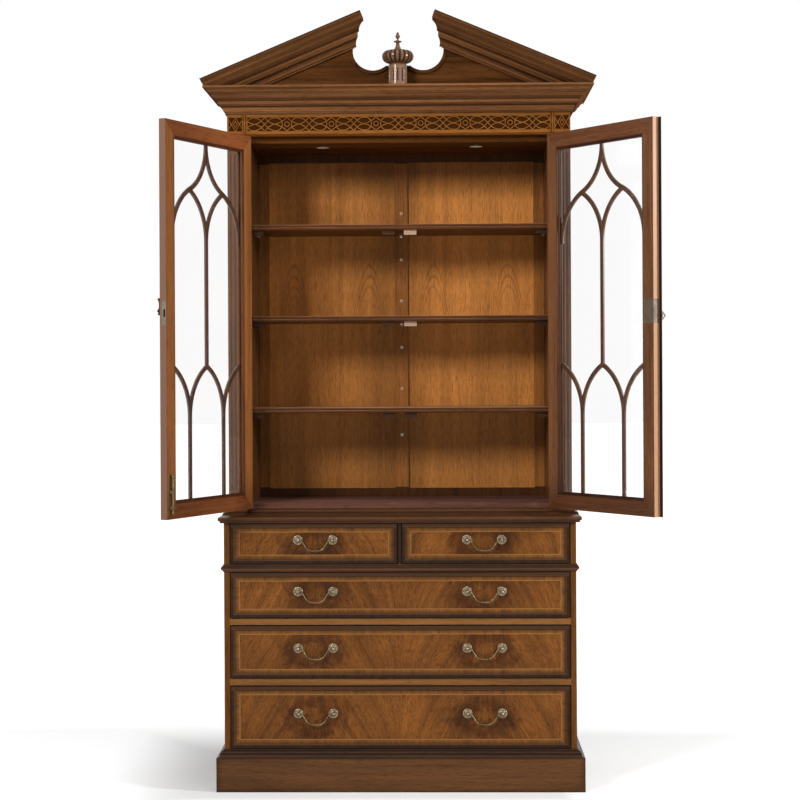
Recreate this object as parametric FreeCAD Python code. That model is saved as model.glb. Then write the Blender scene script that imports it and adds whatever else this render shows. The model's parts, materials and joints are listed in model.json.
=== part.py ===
import FreeCAD, Part
import math
import os

# Display cabinet in two stages: a chest of drawers below and a glazed bookcase with a broken pediment above.
# Millimetres, +Z up, the front faces -Y, and the origin lies on the floor at the middle of the plinth.

# Overall sizes
base_width = 1100.0
base_depth = 460.0
upper_width = 1092.0
upper_depth = 350.0
door_height = 1182.0

# Board thicknesses
side_thickness = 18.0
board_thickness = 18.0
back_thickness = 8.0
front_frame_thickness = 23.0

# Plinth and base mouldings
plinth_height = 103.0
plinth_projection = 24.0
plinth_cap_height = 28.0
bearer_width = 60.0
mid_projection = 9.0
top_thickness = 18.0
top_overhang = 17.0

# Drawer rows, from the bottom row up, and the rails above the three long ones
long_opening_heights = (198.0, 168.0, 146.0)
rail_heights = (21.0, 20.0, 23.0)
short_opening_height = 130.0
divider_width = 10.0
rail_depth = 60.0
runner_width = 50.0

# Drawers
front_gap = 1.5
front_thickness = 20.0
border_width = 15.0
border_rise = 4.0
drawer_wall = 12.0
drawer_bottom_thickness = 6.0
drawer_bottom_lift = 8.0
drawer_side_gap = 3.0
drawer_head_gap = 14.0
drawer_rear_gap = 25.0
slide_gap = 0.3

# Swan-neck pulls
pull_offset = 264.0
pull_raise = 11.0
pull_spacing = 109.0
rosette_radius = 15.0
post_reach = 14.0
eye_radius = 6.0
bail_wire_radius = 2.3
pivot_clearance = 0.05
bail_drop = 33.5
bail_reveal = 2.0
bail_slant_angle = 57.0
bail_shoulder_radius = 6.0
bail_bend_radius = 28.0

# Upper case
foot_height = 18.0
waist_projection = 19.0
pilaster_width = 54.0
lining_inset = 14.0
lining_thickness = 16.0
floor_lap = 14.5
ceiling_lap = 17.5
door_gap = 1.5
frieze_bead_height = 8.0
frieze_bead_projection = 4.0
frieze_height = 63.0
cornice_height = 84.0
cornice_projection = 70.0
cover_thickness = 10.0

# Fluted pilasters
flute_count = 3
flute_radius = 5.0
flute_lift = 1.5
flute_pitch = 13.0
flute_margin = 60.0

# Fretwork
fret_thickness = 2.5
fret_line = 3.2
fret_border = 10.0
fret_period = 142.0
fret_repeats = 7
fret_cross_angle = 45.0
fret_cross_rise = 10.0
fret_node_share = 0.223
fret_ring_radius = 7.5
fret_break = 1.5
fret_fillet_width = 5.0
fret_fillet_rise = 6.0
fret_diamond_half = 13.0
fret_small_share = 0.46

# Pediment
raking_inner = 118.0
raking_outer = 624.0
raking_rise = 231.0
raking_slope = 0.417
raking_height = 98.0
raking_projection = 80.0
raking_tip_inset = 10.0
tympanum_thickness = 20.0
tympanum_drop = 4.0
scoop_offset = 80.0
scoop_height = 117.0
scoop_radius = 64.5
scoop_bead_width = 10.0
scoop_bead_rise = 6.0
scoop_bead_end_angle = 350.0
cusp_half = 38.0
pedestal_half = 44.5
pedestal_height = 41.0
pedestal_rise = 4.0

# Finial
finial_radius = 50.0
finial_height = 168.0
finial_forward = 34.0
drum_radius = 29.0
drum_height = 62.0
drum_flutes = 10
drum_flute_radius = 6.0
drum_flute_lift = 1.6
drum_flute_margin = 13.0
gadroon_count = 20
gadroon_radius = 3.2
gadroon_start_share = 0.02
gadroon_end_share = 0.06

# Back of the upper case
back_frame_thickness = 18.0
back_stile_width = 34.0
back_centre_width = 44.0
back_rail_width = 28.0
back_panel_recess = 6.0
back_panel_thickness = 6.0

# Shelves, spaced by shares of the door height
shelf_thickness = 17.0
shelf_front_inset = 25.0
shelf_pitch = door_height * 294 / 1182
shelf_first_height = door_height * 304 / 1182
shelf_end_gap = 1.0
shelf_block_width = 40.0
shelf_block_depth = 22.0
shelf_block_height = 16.0
pin_radius = 2.5
pin_reach = 9.0
pin_depth = 11.0
sleeve_radius = 4.5
sleeve_length = 12.0
pin_row_pitch = 78.0
pin_column_inset = 45.0

# Puck lights
light_offset = 249.0
light_setback = 127.0
light_radius = 24.0
lens_radius = 19.0
lens_gap = 0.2
light_lip = 2.0
lens_thickness = 3.0

# Doors
door_thickness = 22.0
frame_width = 46.0
lip_width = 8.0
lip_depth = 10.0
glass_thickness = 3.0
glass_edge_gap = 1.0
left_open_angle = 115.0
right_open_angle = 126.0

# Gothic tracery
bar_width = 14.0
bar_ridge_width = 8.0
bar_depth = 5.0
bar_ridge_depth = 3.0
arch_radius = 170.0
lancet_drop = 196.0
lower_apex_height = 452.0

# Hinges
hinge_height = 70.0
hinge_inset = 110.0
hinge_leaf_thickness = 0.6
hinge_leaf_depth = 16.0
knuckle_radius = 3.5
knuckle_gap = 0.3
hinge_pin_radius = 1.8

# Lock, strike plate, key and escutcheons
lock_height = 609.0
lock_width = 44.0
lock_plate_height = 72.0
lock_depth = 12.0
lock_bolt_height = 22.0
lock_bolt_thickness = 5.0
lock_bolt_length = 26.0
lock_bolt_gap = 0.3
lock_throw = 9.0
selvedge_thickness = 2.0
selvedge_margin = 2.0
key_setback = 22.0
key_drop = 2.0
key_radius = 2.5
key_reach = 31.0
key_bow_spacing = 6.5
key_bow_radius = 7.0
key_bow_hole = 4.0
key_bow_thickness = 3.0
strike_width = 14.0
strike_thickness = 0.5
escutcheon_radius = 8.5
escutcheon_thickness = 1.5
pull_plate_width = 10.0
pull_plate_height = 54.0
pull_plate_thickness = 1.5
cast_pull_setback = 18.0
cast_pull_width = 6.0
cast_pull_height = 52.0
cast_pull_reach = 20.0
cast_pull_lift = 20.0

# Astragal strip on the meeting edge
astragal_half = 11.0
astragal_clearance = 0.4

# Surface bolt
bolt_setback = 20.0
bolt_plate_width = 14.0
bolt_plate_height = 112.0
bolt_plate_thickness = 2.0
bolt_plate_lift = 20.0
bolt_radius = 3.0
bolt_bore_gap = 0.3
bolt_standoff = 6.0
bolt_staple_height = 10.0
bolt_staple_half = 6.0
bolt_floor_gap = 2.0
floor_strike_length = 26.0
floor_strike_thickness = 1.0

# One overrun serves every cut
overrun = 2.0

# Section tables: rows of out share, up share and the arc's sag share, negative where it swells outward
plinth_cap_shares = (
    (1.0, 0.0, 0), (1.0, 0.10, 0), (0.90, 0.14, 0), (0.58, 0.48, 0.2), (0.58, 0.56, 0), (0.48, 0.56, 0),
    (0.20, 0.86, -0.2), (0.20, 0.92, 0), (0.12, 0.92, 0), (0.12, 1.0, 0), (0.0, 1.0, 0),
)
mid_shares = (
    (0.30, 0.0, 0), (0.30, 0.16, 0), (0.30, 0.84, -0.39), (0.30, 1.0, 0), (0.0, 1.0, 0),
)
top_edge_shares = (
    (0.66, 0.0, 0), (0.66, 0.14, 0), (0.86, 0.40, 0.2), (1.0, 0.40, 0), (1.0, 0.80, 0), (0.84, 1.0, -0.2),
    (0.0, 1.0, 0),
)
waist_shares = (
    (1.0, 0.0, 0), (1.0, 0.24, 0), (0.86, 0.24, 0), (0.86, 0.34, 0), (0.34, 0.80, 0.2), (0.34, 0.88, 0),
    (0.18, 0.88, 0), (0.18, 1.0, 0), (0.0, 1.0, 0),
)
cornice_shares = (
    (0.08, 0.0, 0), (0.08, 0.09, 0), (0.13, 0.09, 0), (0.15, 0.16, -0.2), (0.18, 0.18, 0), (0.27, 0.28, 0.2),
    (0.31, 0.30, 0), (0.31, 0.34, 0), (0.38, 0.47, -0.2), (0.42, 0.49, 0), (0.50, 0.57, 0.2),
    (0.54, 0.58, 0), (0.70, 0.74, -0.08), (0.73, 0.76, 0), (0.78, 0.78, 0), (0.93, 0.91, 0.12),
    (0.95, 0.92, 0), (1.0, 0.92, 0), (1.0, 1.0, 0), (0.0, 1.0, 0),
)
raking_shares = (
    (0.10, 0.0, 0), (0.10, 0.06, 0), (0.15, 0.06, 0), (0.18, 0.14, -0.2), (0.22, 0.16, 0), (0.30, 0.25, 0.2),
    (0.34, 0.27, 0), (0.34, 0.33, 0), (0.42, 0.46, -0.2), (0.46, 0.48, 0), (0.55, 0.56, 0.2),
    (0.59, 0.57, 0), (0.72, 0.72, -0.08), (0.76, 0.74, 0), (0.80, 0.77, 0), (0.94, 0.90, 0.12),
    (0.96, 0.92, 0), (1.0, 0.92, 0), (1.0, 1.0, 0), (0.0, 1.0, 0),
)
# Inner end of a raking cornice seen from the front: shares of its plumb height, across and down
raking_end_shares = (
    (0.00, 0.0, 0), (-0.09, 0.19, 0), (0.06, 0.54, 0.12), (0.10, 0.56, 0), (0.10, 0.72, 0),
    (0.14, 1.06, 0.1), (0.20, 1.06, 0), (0.25, 1.16, 0),
)
# Turned pieces: rows of radius share, length share and sag share
urn_foot_shares = (
    (0.60, 0.0, 0), (0.60, 0.02, 0), (0.47, 0.09, 0.15),
)
urn_bowl_shares = ((0.47, 0.09), (1.0, 0.255), (0.82, 0.43))
urn_lid_shares = (
    (0.38, 0.475, 0), (0.13, 0.60, 0.15), (0.11, 0.69, 0), (0.24, 0.70, 0), (0.27, 0.715, 0),
    (0.24, 0.735, 0), (0.10, 0.755, 0), (0.05, 0.80, 0.1), (0.15, 0.88, -0.1), (0.08, 0.93, -0.1),
    (0.09, 0.95, 0), (0.03, 1.0, -0.2), (0.0, 1.0, 0),
)
pull_shares = (
    (1.0, 0.0, 0), (1.0, 0.07, 0), (0.86, 0.12, -0.2), (0.86, 0.09, 0), (0.66, 0.09, 0), (0.62, 0.17, 0),
    (0.46, 0.20, -0.2), (0.32, 0.22, 0), (0.28, 0.42, 0.1), (0.16, 1.0, -0.25), (0.0, 1.0, 0),
)
# Side view of the cast pull: rows of out share and share of the half height
cast_pull_shares = (
    (0.0, 0.92), (0.50, 0.98), (0.84, 0.92), (0.90, 0.84), (0.74, 0.62), (0.66, 0.44), (0.66, -0.16),
    (0.76, -0.30), (0.94, -0.42), (1.0, -0.52), (0.86, -0.64), (0.72, -0.72), (0.84, -0.80), (0.85, -0.92),
    (0.70, -1.0), (0.50, -0.92), (0.34, -0.66), (0.0, -0.56), (0.0, -0.30), (0.34, -0.28), (0.48, -0.10),
    (0.48, 0.40), (0.34, 0.58), (0.0, 0.60),
)
bolt_shares = (
    (0.8, 0.0, 0), (1.0, 0.02, 0), (1.0, 0.92, 0), (0.5, 1.0, -0.22), (0.0, 1.0, 0),
)

# Sags of single arcs, as shares of their chords
ovolo_sag_share = 0.2
shelf_bead_sag_share = 0.3
astragal_sag_share = 0.25

# Levels, from the floor up
cap_top = plinth_height + plinth_cap_height
long_floors = []
level = cap_top
for opening_height, rail_height in zip(long_opening_heights, rail_heights):
    long_floors.append(level)
    level += opening_height + rail_height
short_floor = level
top_under = short_floor + short_opening_height
base_top = top_under + top_thickness
foot_top = base_top + foot_height
door_foot = foot_top + door_gap
door_head = door_foot + door_height
floor_top = door_foot + floor_lap
ceiling = door_head - ceiling_lap
frieze_foot = door_head + door_gap
fret_foot = frieze_foot + frieze_bead_height
cornice_foot = fret_foot + frieze_height
cornice_top = cornice_foot + cornice_height
pediment_top = cornice_top + raking_rise

# Planes, from front to back and from the middle outwards
plinth_depth = base_depth + plinth_projection
rear = plinth_depth / 2
base_front = rear - base_depth
upper_front = rear - upper_depth
frame_rear = upper_front + front_frame_thickness
back_face = rear - back_frame_thickness
base_half = base_width / 2
base_inside = base_half - side_thickness
upper_half = upper_width / 2
upper_inside = upper_half - side_thickness
opening_half = upper_half - pilaster_width
lining_face = opening_half - lining_inset
door_outer = opening_half - door_gap
door_meet = door_gap / 2
door_rear = upper_front + door_thickness
pin_x = opening_half - door_gap / 2
pin_y = upper_front - knuckle_radius - knuckle_gap
sight_inset = frame_width + lip_width


def V(x, y, z):
    return FreeCAD.Vector(x, y, z)


# Shapes that several pieces are made from

def one(shape):
    """The single solid that a cut, a common or a fuse leaves."""
    if len(shape.Solids) != 1:
        raise ValueError("expected one solid, got %d" % len(shape.Solids))
    return shape.Solids[0]


def box(x0, x1, y0, y1, z0, z1):
    return Part.makeBox(x1 - x0, y1 - y0, z1 - z0, V(x0, y0, z0))


def rod(radius, length, foot, direction):
    return Part.makeCylinder(radius, length, foot, direction)


def arc_step(here, there, sag_share):
    """A step from here to there on an arc that stands off its chord by a share of the chord."""
    across = there[0] - here[0]
    along = there[1] - here[1]
    middle_x = (here[0] + there[0]) / 2 - along * sag_share
    middle_y = (here[1] + there[1]) / 2 + across * sag_share
    return ((middle_x, middle_y), there)


def face_through(start, steps, lift):
    """Flat face: a step is the next point, or a pair of points on an arc. lift places it in space."""
    first = lift(*start)
    here = first
    edges = []
    for step in steps:
        bent = isinstance(step[0], tuple)
        there = lift(*(step[1] if bent else step))
        if bent:
            edges.append(Part.Arc(here, lift(*step[0]), there).toShape())
        else:
            edges.append(Part.makeLine(here, there))
        here = there
    if not here.isEqual(first, slide_gap):
        edges.append(Part.makeLine(here, first))
    return Part.Face(Part.Wire(edges))


def moulding_steps(rows, across, height, foot):
    """Steps of a moulding's section, from its foot on the wall to its head on the wall."""
    steps = []
    here = (0, foot)
    for out_share, up_share, sag_share in rows:
        there = (out_share * across, foot + up_share * height)
        steps.append(arc_step(here, there, sag_share) if sag_share else there)
        here = there
    return steps


def level_prism(points, z0, z1):
    corners = [V(x, y, z0) for x, y in points]
    return Part.Face(Part.makePolygon(corners + corners[:1])).extrude(V(0, 0, z1 - z0))


def upright_prism(points, y0, y1):
    corners = [V(x, y0, z) for x, z in points]
    return Part.Face(Part.makePolygon(corners + corners[:1])).extrude(V(0, y1 - y0, 0))


def three_sided_run(rows, projection, height, foot, half, front):
    """A moulding round the front and both sides: three lengths, mitred at the corners."""
    steps = moulding_steps(rows, projection, height, foot)
    start = (0, foot)
    reach = projection + overrun
    far = half + reach
    ahead = front - reach
    head = foot + height
    front_face = face_through(start, steps, lambda out, up: V(-far, front - out, up))
    front_run = front_face.extrude(V(2 * far, 0, 0))
    corner = [(-half, front), (half, front), (far, ahead), (-far, ahead)]
    lengths = [one(front_run.common(level_prism(corner, foot, head)))]
    for side in (-1, 1):
        face = face_through(start, steps, lambda out, up: V(side * (half + out), ahead, up))
        side_run = face.extrude(V(0, rear - ahead, 0))
        corner = [(side * half, front), (side * far, ahead), (side * far, rear), (side * half, rear)]
        lengths.append(one(side_run.common(level_prism(corner, foot, head))))
    return lengths


def mitred_frame(x0, x1, z0, z1, width, start, steps, front):
    """Four mitred lengths round a rectangle. The section runs inwards and backwards from the outer edge."""
    def member(lift, run, corners):
        blank = face_through(start, steps, lift).extrude(run)
        return one(blank.common(upright_prism(corners, front - overrun - border_rise, rear)))

    inner = [(x0 + width, z0 + width), (x1 - width, z0 + width), (x1 - width, z1 - width),
             (x0 + width, z1 - width)]
    outer = [(x0, z0), (x1, z0), (x1, z1), (x0, z1)]
    across = V(x1 - x0, 0, 0)
    up = V(0, 0, z1 - z0)
    return [
        member(lambda w, d: V(x0, front + d, z0 + w), across, [outer[0], outer[1], inner[1], inner[0]]),
        member(lambda w, d: V(x0, front + d, z1 - w), across, [outer[3], outer[2], inner[2], inner[3]]),
        member(lambda w, d: V(x0 + w, front + d, z0), up, [outer[0], inner[0], inner[3], outer[3]]),
        member(lambda w, d: V(x1 - w, front + d, z0), up, [outer[1], inner[1], inner[2], outer[2]]),
    ]


def arc_band(centre_x, centre_z, radius, half_width, angle_from, angle_to, y0, y1):
    """Bar along an arc in a plane that faces the front. Angles in degrees from +X towards +Z."""
    def point(distance, angle):
        turn = math.radians(angle)
        return V(centre_x + distance * math.cos(turn), y0, centre_z + distance * math.sin(turn))

    middle = (angle_from + angle_to) / 2
    outer = radius + half_width
    inner = radius - half_width
    edges = [
        Part.Arc(point(outer, angle_from), point(outer, middle), point(outer, angle_to)).toShape(),
        Part.makeLine(point(outer, angle_to), point(inner, angle_to)),
        Part.Arc(point(inner, angle_to), point(inner, middle), point(inner, angle_from)).toShape(),
        Part.makeLine(point(inner, angle_from), point(outer, angle_from)),
    ]
    return Part.Face(Part.Wire(edges)).extrude(V(0, y1 - y0, 0))


def mirrored(solids):
    return [solid.mirror(V(0, 0, 0), V(1, 0, 0)) for solid in solids]


def both_sides(solids):
    return solids + mirrored(solids)


os.makedirs("parts", exist_ok=True)


def save(name, solids):
    Part.makeCompound(solids).exportStep("parts/%s.step" % name)


# Base stage

def plinth_boards():
    """Skirting boards planted round the carcase, a back board and a centre bearer."""
    square = ((1.0, 0.0, 0), (1.0, 1.0, 0), (0.0, 1.0, 0))
    boards = three_sided_run(square, plinth_projection, plinth_height, 0, base_half, base_front)
    boards.append(box(-base_inside, base_inside, rear - board_thickness, rear, 0, cap_top - board_thickness))
    boards.append(box(-bearer_width / 2, bearer_width / 2, base_front, rear - board_thickness, 0,
                      cap_top - board_thickness))
    return boards


def base_mouldings():
    cap = three_sided_run(plinth_cap_shares, plinth_projection, plinth_cap_height, plinth_height,
                          base_half, base_front)
    mid_height = rail_heights[-1]
    return cap + three_sided_run(mid_shares, mid_projection, mid_height, short_floor - mid_height,
                                 base_half, base_front)


def base_carcase():
    side = box(base_inside, base_half, base_front, rear, 0, top_under)
    bottom = box(-base_inside, base_inside, base_front, rear, cap_top - board_thickness, cap_top)
    back = box(-base_inside, base_inside, rear - back_thickness, rear, cap_top, top_under)
    return both_sides([side]) + [bottom, back]


def drawer_rails():
    """Front rails, the runners behind them, and the divider between the short drawers."""
    pieces = []
    rail_rear = base_front + rail_depth
    runner_rear = rear - back_thickness
    for floor, opening, thickness in zip(long_floors, long_opening_heights, rail_heights):
        foot = floor + opening
        head = foot + thickness
        pieces.append(box(-base_inside, base_inside, base_front, rail_rear, foot, head))
        runner = box(base_inside - runner_width, base_inside, rail_rear, runner_rear, foot, head)
        pieces += both_sides([runner])
    pieces.append(box(-runner_width / 2, runner_width / 2, rail_rear, runner_rear,
                      short_floor - rail_heights[-1], short_floor))
    pieces.append(box(-divider_width / 2, divider_width / 2, base_front, rail_rear, short_floor, top_under))
    pieces.append(box(-divider_width / 2, divider_width / 2, rail_rear, runner_rear, short_floor,
                      short_floor + runner_width))
    return pieces


def base_top_board():
    core = box(-base_half, base_half, base_front, rear, top_under, base_top)
    edge = three_sided_run(top_edge_shares, top_overhang, top_thickness, top_under, base_half, base_front)
    return [one(core.multiFuse(edge).removeSplitter())]


# Drawers

def drawer_front(x0, x1, floor, opening):
    """Veneered front with four mitred border mouldings on its face."""
    left = x0 + front_gap
    right = x1 - front_gap
    foot = floor + front_gap
    head = floor + opening - front_gap
    board = box(left, right, base_front, base_front + front_thickness, foot, head)
    shoulder = border_width / 3
    steps = [(0, -border_rise), (shoulder, -border_rise),
             arc_step((shoulder, -border_rise), (border_width, -border_rise / 4), -overrun / border_width),
             (border_width, 0)]
    return [board] + mitred_frame(left, right, foot, head, border_width, (0, 0), steps, base_front)


def drawer_box(x0, x1, floor, opening):
    left = x0 + drawer_side_gap
    right = x1 - drawer_side_gap
    front = base_front + front_thickness
    back = rear - back_thickness - drawer_rear_gap
    foot = floor + slide_gap
    head = floor + opening - drawer_head_gap
    tray = foot + drawer_bottom_lift
    return [
        box(left, left + drawer_wall, front, back, foot, head),
        box(right - drawer_wall, right, front, back, foot, head),
        box(left + drawer_wall, right - drawer_wall, back - drawer_wall, back, tray, head),
        box(left + drawer_wall, right - drawer_wall, front, back - drawer_wall, tray,
            tray + drawer_bottom_thickness),
    ]


def turned(rows, radius, length, foot, lift):
    """Round piece from rows of radius share, length share and sag share; lift places its section."""
    steps = []
    here = (0, foot)
    for radius_share, length_share, sag_share in rows:
        there = (radius_share * radius, foot + length_share * length)
        steps.append(arc_step(here, there, sag_share) if sag_share else there)
        here = there
    axis_foot = lift(0, foot)
    return face_through((0, foot), steps, lift).revolve(axis_foot, lift(0, foot + length) - axis_foot, 360)


def pull_posts(centre_x, height):
    """Two turned rosettes, each with a post whose eye holds one end of the bail."""
    posts = []
    for side in (-1, 1):
        x = centre_x + side * pull_spacing / 2
        post = turned(pull_shares, rosette_radius, post_reach + eye_radius, 0,
                      lambda radius, out: V(x + radius, base_front - out, height))
        bore = rod(bail_wire_radius + pivot_clearance, 2 * rosette_radius,
                   V(x - rosette_radius, base_front - post_reach, height), V(1, 0, 0))
        posts.append(one(post.cut(bore)))
    return posts


def bail(centre_x, height):
    """Swan-neck wire: a pin in each eye, a shoulder, a slanting side and a bend into the grip."""
    y = base_front - post_reach
    pin_end = pull_spacing / 2 + eye_radius
    shoulder = pull_spacing / 2 - eye_radius - bail_reveal
    slant = math.radians(bail_slant_angle)
    low = height - bail_drop
    both = bail_shoulder_radius + bail_bend_radius
    length = (bail_drop - both * (1 - math.cos(slant))) / math.sin(slant)
    grip = shoulder - both * math.sin(slant) - length * math.cos(slant)

    def half(side):
        def place(x, z):
            return V(centre_x + side * x, y, z)

        def on_shoulder(angle):
            return place(shoulder - bail_shoulder_radius * math.sin(angle),
                         height - bail_shoulder_radius * (1 - math.cos(angle)))

        def on_bend(angle):
            return place(grip + bail_bend_radius * math.sin(angle),
                         low + bail_bend_radius * (1 - math.cos(angle)))

        return [Part.makeLine(place(pin_end, height), on_shoulder(0)),
                Part.Arc(on_shoulder(0), on_shoulder(slant / 2), on_shoulder(slant)).toShape(),
                Part.makeLine(on_shoulder(slant), on_bend(slant)),
                Part.Arc(on_bend(slant), on_bend(slant / 2), on_bend(0)).toShape()]

    left = half(-1)
    right = half(1)
    path = left + [Part.makeLine(V(centre_x - grip, y, low), V(centre_x + grip, y, low))] + right[::-1]
    ring = Part.Wire(Part.makeCircle(bail_wire_radius, V(centre_x - pin_end, y, height), V(1, 0, 0)))
    return [Part.Wire(path).makePipeShell([ring], True, False)]


def drawers():
    short_inner = divider_width / 2
    rows = [("short_drawer_left", -base_inside, -short_inner, short_floor, short_opening_height),
            ("short_drawer_right", short_inner, base_inside, short_floor, short_opening_height)]
    names = ("bottom_drawer", "middle_drawer", "upper_drawer")
    for name, floor, opening in zip(names, long_floors, long_opening_heights):
        rows.append((name, -base_inside, base_inside, floor, opening))
    for name, x0, x1, floor, opening in rows:
        save(name + "_front", drawer_front(x0, x1, floor, opening))
        save(name + "_box", drawer_box(x0, x1, floor, opening))
        height = floor + opening / 2 + pull_raise
        places = [(side, side * pull_offset) for side in (-1, 1) if x0 < side * pull_offset < x1]
        save(name + "_pulls", [post for side, x in places for post in pull_posts(x, height)])
        for side, x in places:
            hand = "" if len(places) == 1 else ("_left" if side < 0 else "_right")
            save(name + hand + "_bail", bail(x, height))


# Upper stage

def upper_sides():
    """Two sides, the foot rail under the pilasters and two bearers under the floor and the linings."""
    side = box(upper_inside, upper_half, frame_rear, rear, base_top, cornice_top)
    foot = box(-upper_half, upper_half, upper_front, frame_rear, base_top, foot_top)
    bearer = box(lining_face - runner_width, upper_inside, frame_rear, back_face, base_top,
                 floor_top - board_thickness)
    return both_sides([side, bearer]) + [foot]


def pin_heights():
    """Heights of every shelf-pin row: one under each shelf, one above it and one below it."""
    heights = []
    for shelf in range(3):
        carrying = floor_top + shelf_first_height + shelf * shelf_pitch - shelf_thickness - pin_radius
        heights += [carrying - pin_row_pitch, carrying, carrying + pin_row_pitch]
    return heights


pin_columns = (frame_rear + shelf_front_inset + pin_column_inset, back_face - pin_column_inset)


def side_linings():
    lining = box(lining_face, lining_face + lining_thickness, frame_rear, back_face,
                 floor_top - board_thickness, ceiling)
    holes = [rod(sleeve_radius, sleeve_length + overrun, V(lining_face - overrun, y, z), V(1, 0, 0))
             for y in pin_columns for z in pin_heights()]
    return both_sides([one(lining.cut(holes))])


def bolt_place():
    return -door_meet - bolt_setback, door_rear + bolt_plate_thickness + bolt_standoff


def floor_and_top_boards():
    """Floor between the linings, ceiling with two lamp holes, and the dust cover behind the cornice."""
    floor = box(-lining_face, lining_face, frame_rear, back_face, floor_top - board_thickness, floor_top)
    bolt_x, bolt_y = bolt_place()
    hole = rod(bolt_radius + 2 * bolt_bore_gap, board_thickness + 2 * overrun,
               V(bolt_x, bolt_y, floor_top - board_thickness - overrun), V(0, 0, 1))
    seat = box(bolt_x - floor_strike_length / 2, bolt_x + floor_strike_length / 2, frame_rear - overrun,
               bolt_y + bolt_staple_half, floor_top - floor_strike_thickness, floor_top + overrun)
    floor = one(floor.cut([hole, seat]))
    top = box(-upper_inside, upper_inside, frame_rear, back_face, ceiling, ceiling + board_thickness)
    lamp_holes = [rod(light_radius - light_lip, board_thickness + 2 * overrun,
                      V(side * light_offset, upper_front + light_setback, ceiling - overrun), V(0, 0, 1))
                  for side in (-1, 1)]
    cover = box(-upper_inside, upper_inside, frame_rear, rear, cornice_top - cover_thickness, cornice_top)
    return [floor, one(top.cut(lamp_holes)), cover]


def back_frame():
    foot = base_top
    head = cornice_top - cover_thickness
    low_rail = floor_top + back_rail_width
    high_rail = ceiling - back_rail_width
    stile = box(lining_face - back_stile_width, upper_inside, back_face, rear, foot, head)
    centre = box(-back_centre_width / 2, back_centre_width / 2, back_face, rear, low_rail, high_rail)
    holes = [rod(sleeve_radius, sleeve_length + overrun, V(0, back_face - overrun, z), V(0, 1, 0))
             for z in pin_heights()]
    inner = lining_face - back_stile_width
    return both_sides([stile]) + [
        one(centre.cut(holes)),
        box(-inner, inner, back_face, rear, foot, low_rail),
        box(-inner, inner, back_face, rear, high_rail, head),
    ]


def back_panels():
    inner = lining_face - back_stile_width
    front = back_face + back_panel_recess
    panel = box(back_centre_width / 2, inner, front, front + back_panel_thickness,
                floor_top + back_rail_width, ceiling - back_rail_width)
    return both_sides([panel])


def pilasters():
    """Fluted front posts; each flute ends in a round stop."""
    post = box(opening_half, upper_half, upper_front, frame_rear, foot_top, frieze_foot)
    middle = (opening_half + upper_half) / 2
    foot = foot_top + flute_margin
    length = frieze_foot - foot_top - 2 * flute_margin
    flutes = []
    for index in range(flute_count):
        x = middle + (index - (flute_count - 1) / 2) * flute_pitch
        y = upper_front - flute_lift
        flutes.append(rod(flute_radius, length, V(x, y, foot), V(0, 0, 1)))
        flutes += [Part.makeSphere(flute_radius, V(x, y, z)) for z in (foot, foot + length)]
    return both_sides([one(post.cut(flutes))])


def frieze_board():
    board = box(-upper_half, upper_half, upper_front, frame_rear, frieze_foot, cornice_top)
    steps = [arc_step((0, frieze_foot), (0, fret_foot), -frieze_bead_projection / frieze_bead_height)]
    face = face_through((0, frieze_foot), steps, lambda out, up: V(-upper_half, upper_front - out, up))
    return [board, face.extrude(V(upper_width, 0, 0))]


fret_front = upper_front - fret_thickness
fret_middle = (fret_foot + cornice_foot) / 2
fret_reach = frieze_height / 2 - fret_border


def fret_bar(x0, z0, x1, z1):
    """Straight strap between two points of the fret."""
    length = math.hypot(x1 - x0, z1 - z0)
    across = fret_line / 2 * (z1 - z0) / length
    up = fret_line / 2 * (x1 - x0) / length
    points = [(x0 + across, z0 - up), (x1 + across, z1 - up), (x1 - across, z1 + up), (x0 - across, z0 + up)]
    return upright_prism(points, fret_front, upper_front)


def fret_arc(x, z, radius, angle_from, angle_to):
    return arc_band(x, z, radius, fret_line / 2, angle_from, angle_to, fret_front, upper_front)


def fret_bend(x0, z0, heading, x1, z1):
    """Arc that leaves one point at a heading and reaches the other; returns it with its last heading."""
    lean = math.degrees(math.atan2(z1 - z0, x1 - x0))
    turn = 2 * (lean - heading)
    radius = math.hypot(x1 - x0, z1 - z0) / (2 * math.sin(math.radians(turn / 2)))
    aside = math.radians(heading + 90)
    band = fret_arc(x0 + radius * math.cos(aside), z0 + radius * math.sin(aside), radius, heading - 90,
                    heading - 90 + turn)
    return band, heading + turn


def fret_quarter():
    """A quarter of one repeat: half a loop, the straps that cross it and a quarter of a ring."""
    slant = math.radians(fret_cross_angle)
    crown = fret_reach - fret_line / 4
    bend = (crown - fret_cross_rise) / (1 - math.cos(slant))
    run = fret_cross_rise / math.tan(slant)
    crown_x = run + bend * math.sin(slant)
    node_x = fret_node_share * fret_period
    end_x = fret_period / 2
    drop = fret_reach - fret_cross_rise
    first, heading = fret_bend(run, drop, -fret_cross_angle, node_x, 0)
    second, heading = fret_bend(node_x, 0, -heading, end_x, fret_reach)
    return [
        fret_bar(0, 0, run, fret_cross_rise),
        fret_arc(crown_x, crown - bend, bend, 90 + fret_cross_angle, 90),
        fret_arc(crown_x, 0, crown, 90, 0),
        fret_bar(0, fret_reach, run, drop), first, second,
        fret_arc(end_x, 0, fret_ring_radius, 180, 90),
    ]


def fret_cell():
    """One repeat about the origin: two loops that cross, four straps and half a ring at each end."""
    quarter = fret_quarter()
    upper = both_sides(quarter)
    whole = upper + [solid.mirror(V(0, 0, 0), V(0, 0, 1)) for solid in upper]
    end = fret_period / 2
    room = box(-end, end, fret_front, upper_front, -fret_reach, fret_reach)
    return whole[0].multiFuse(whole[1:]).common(room)


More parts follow.
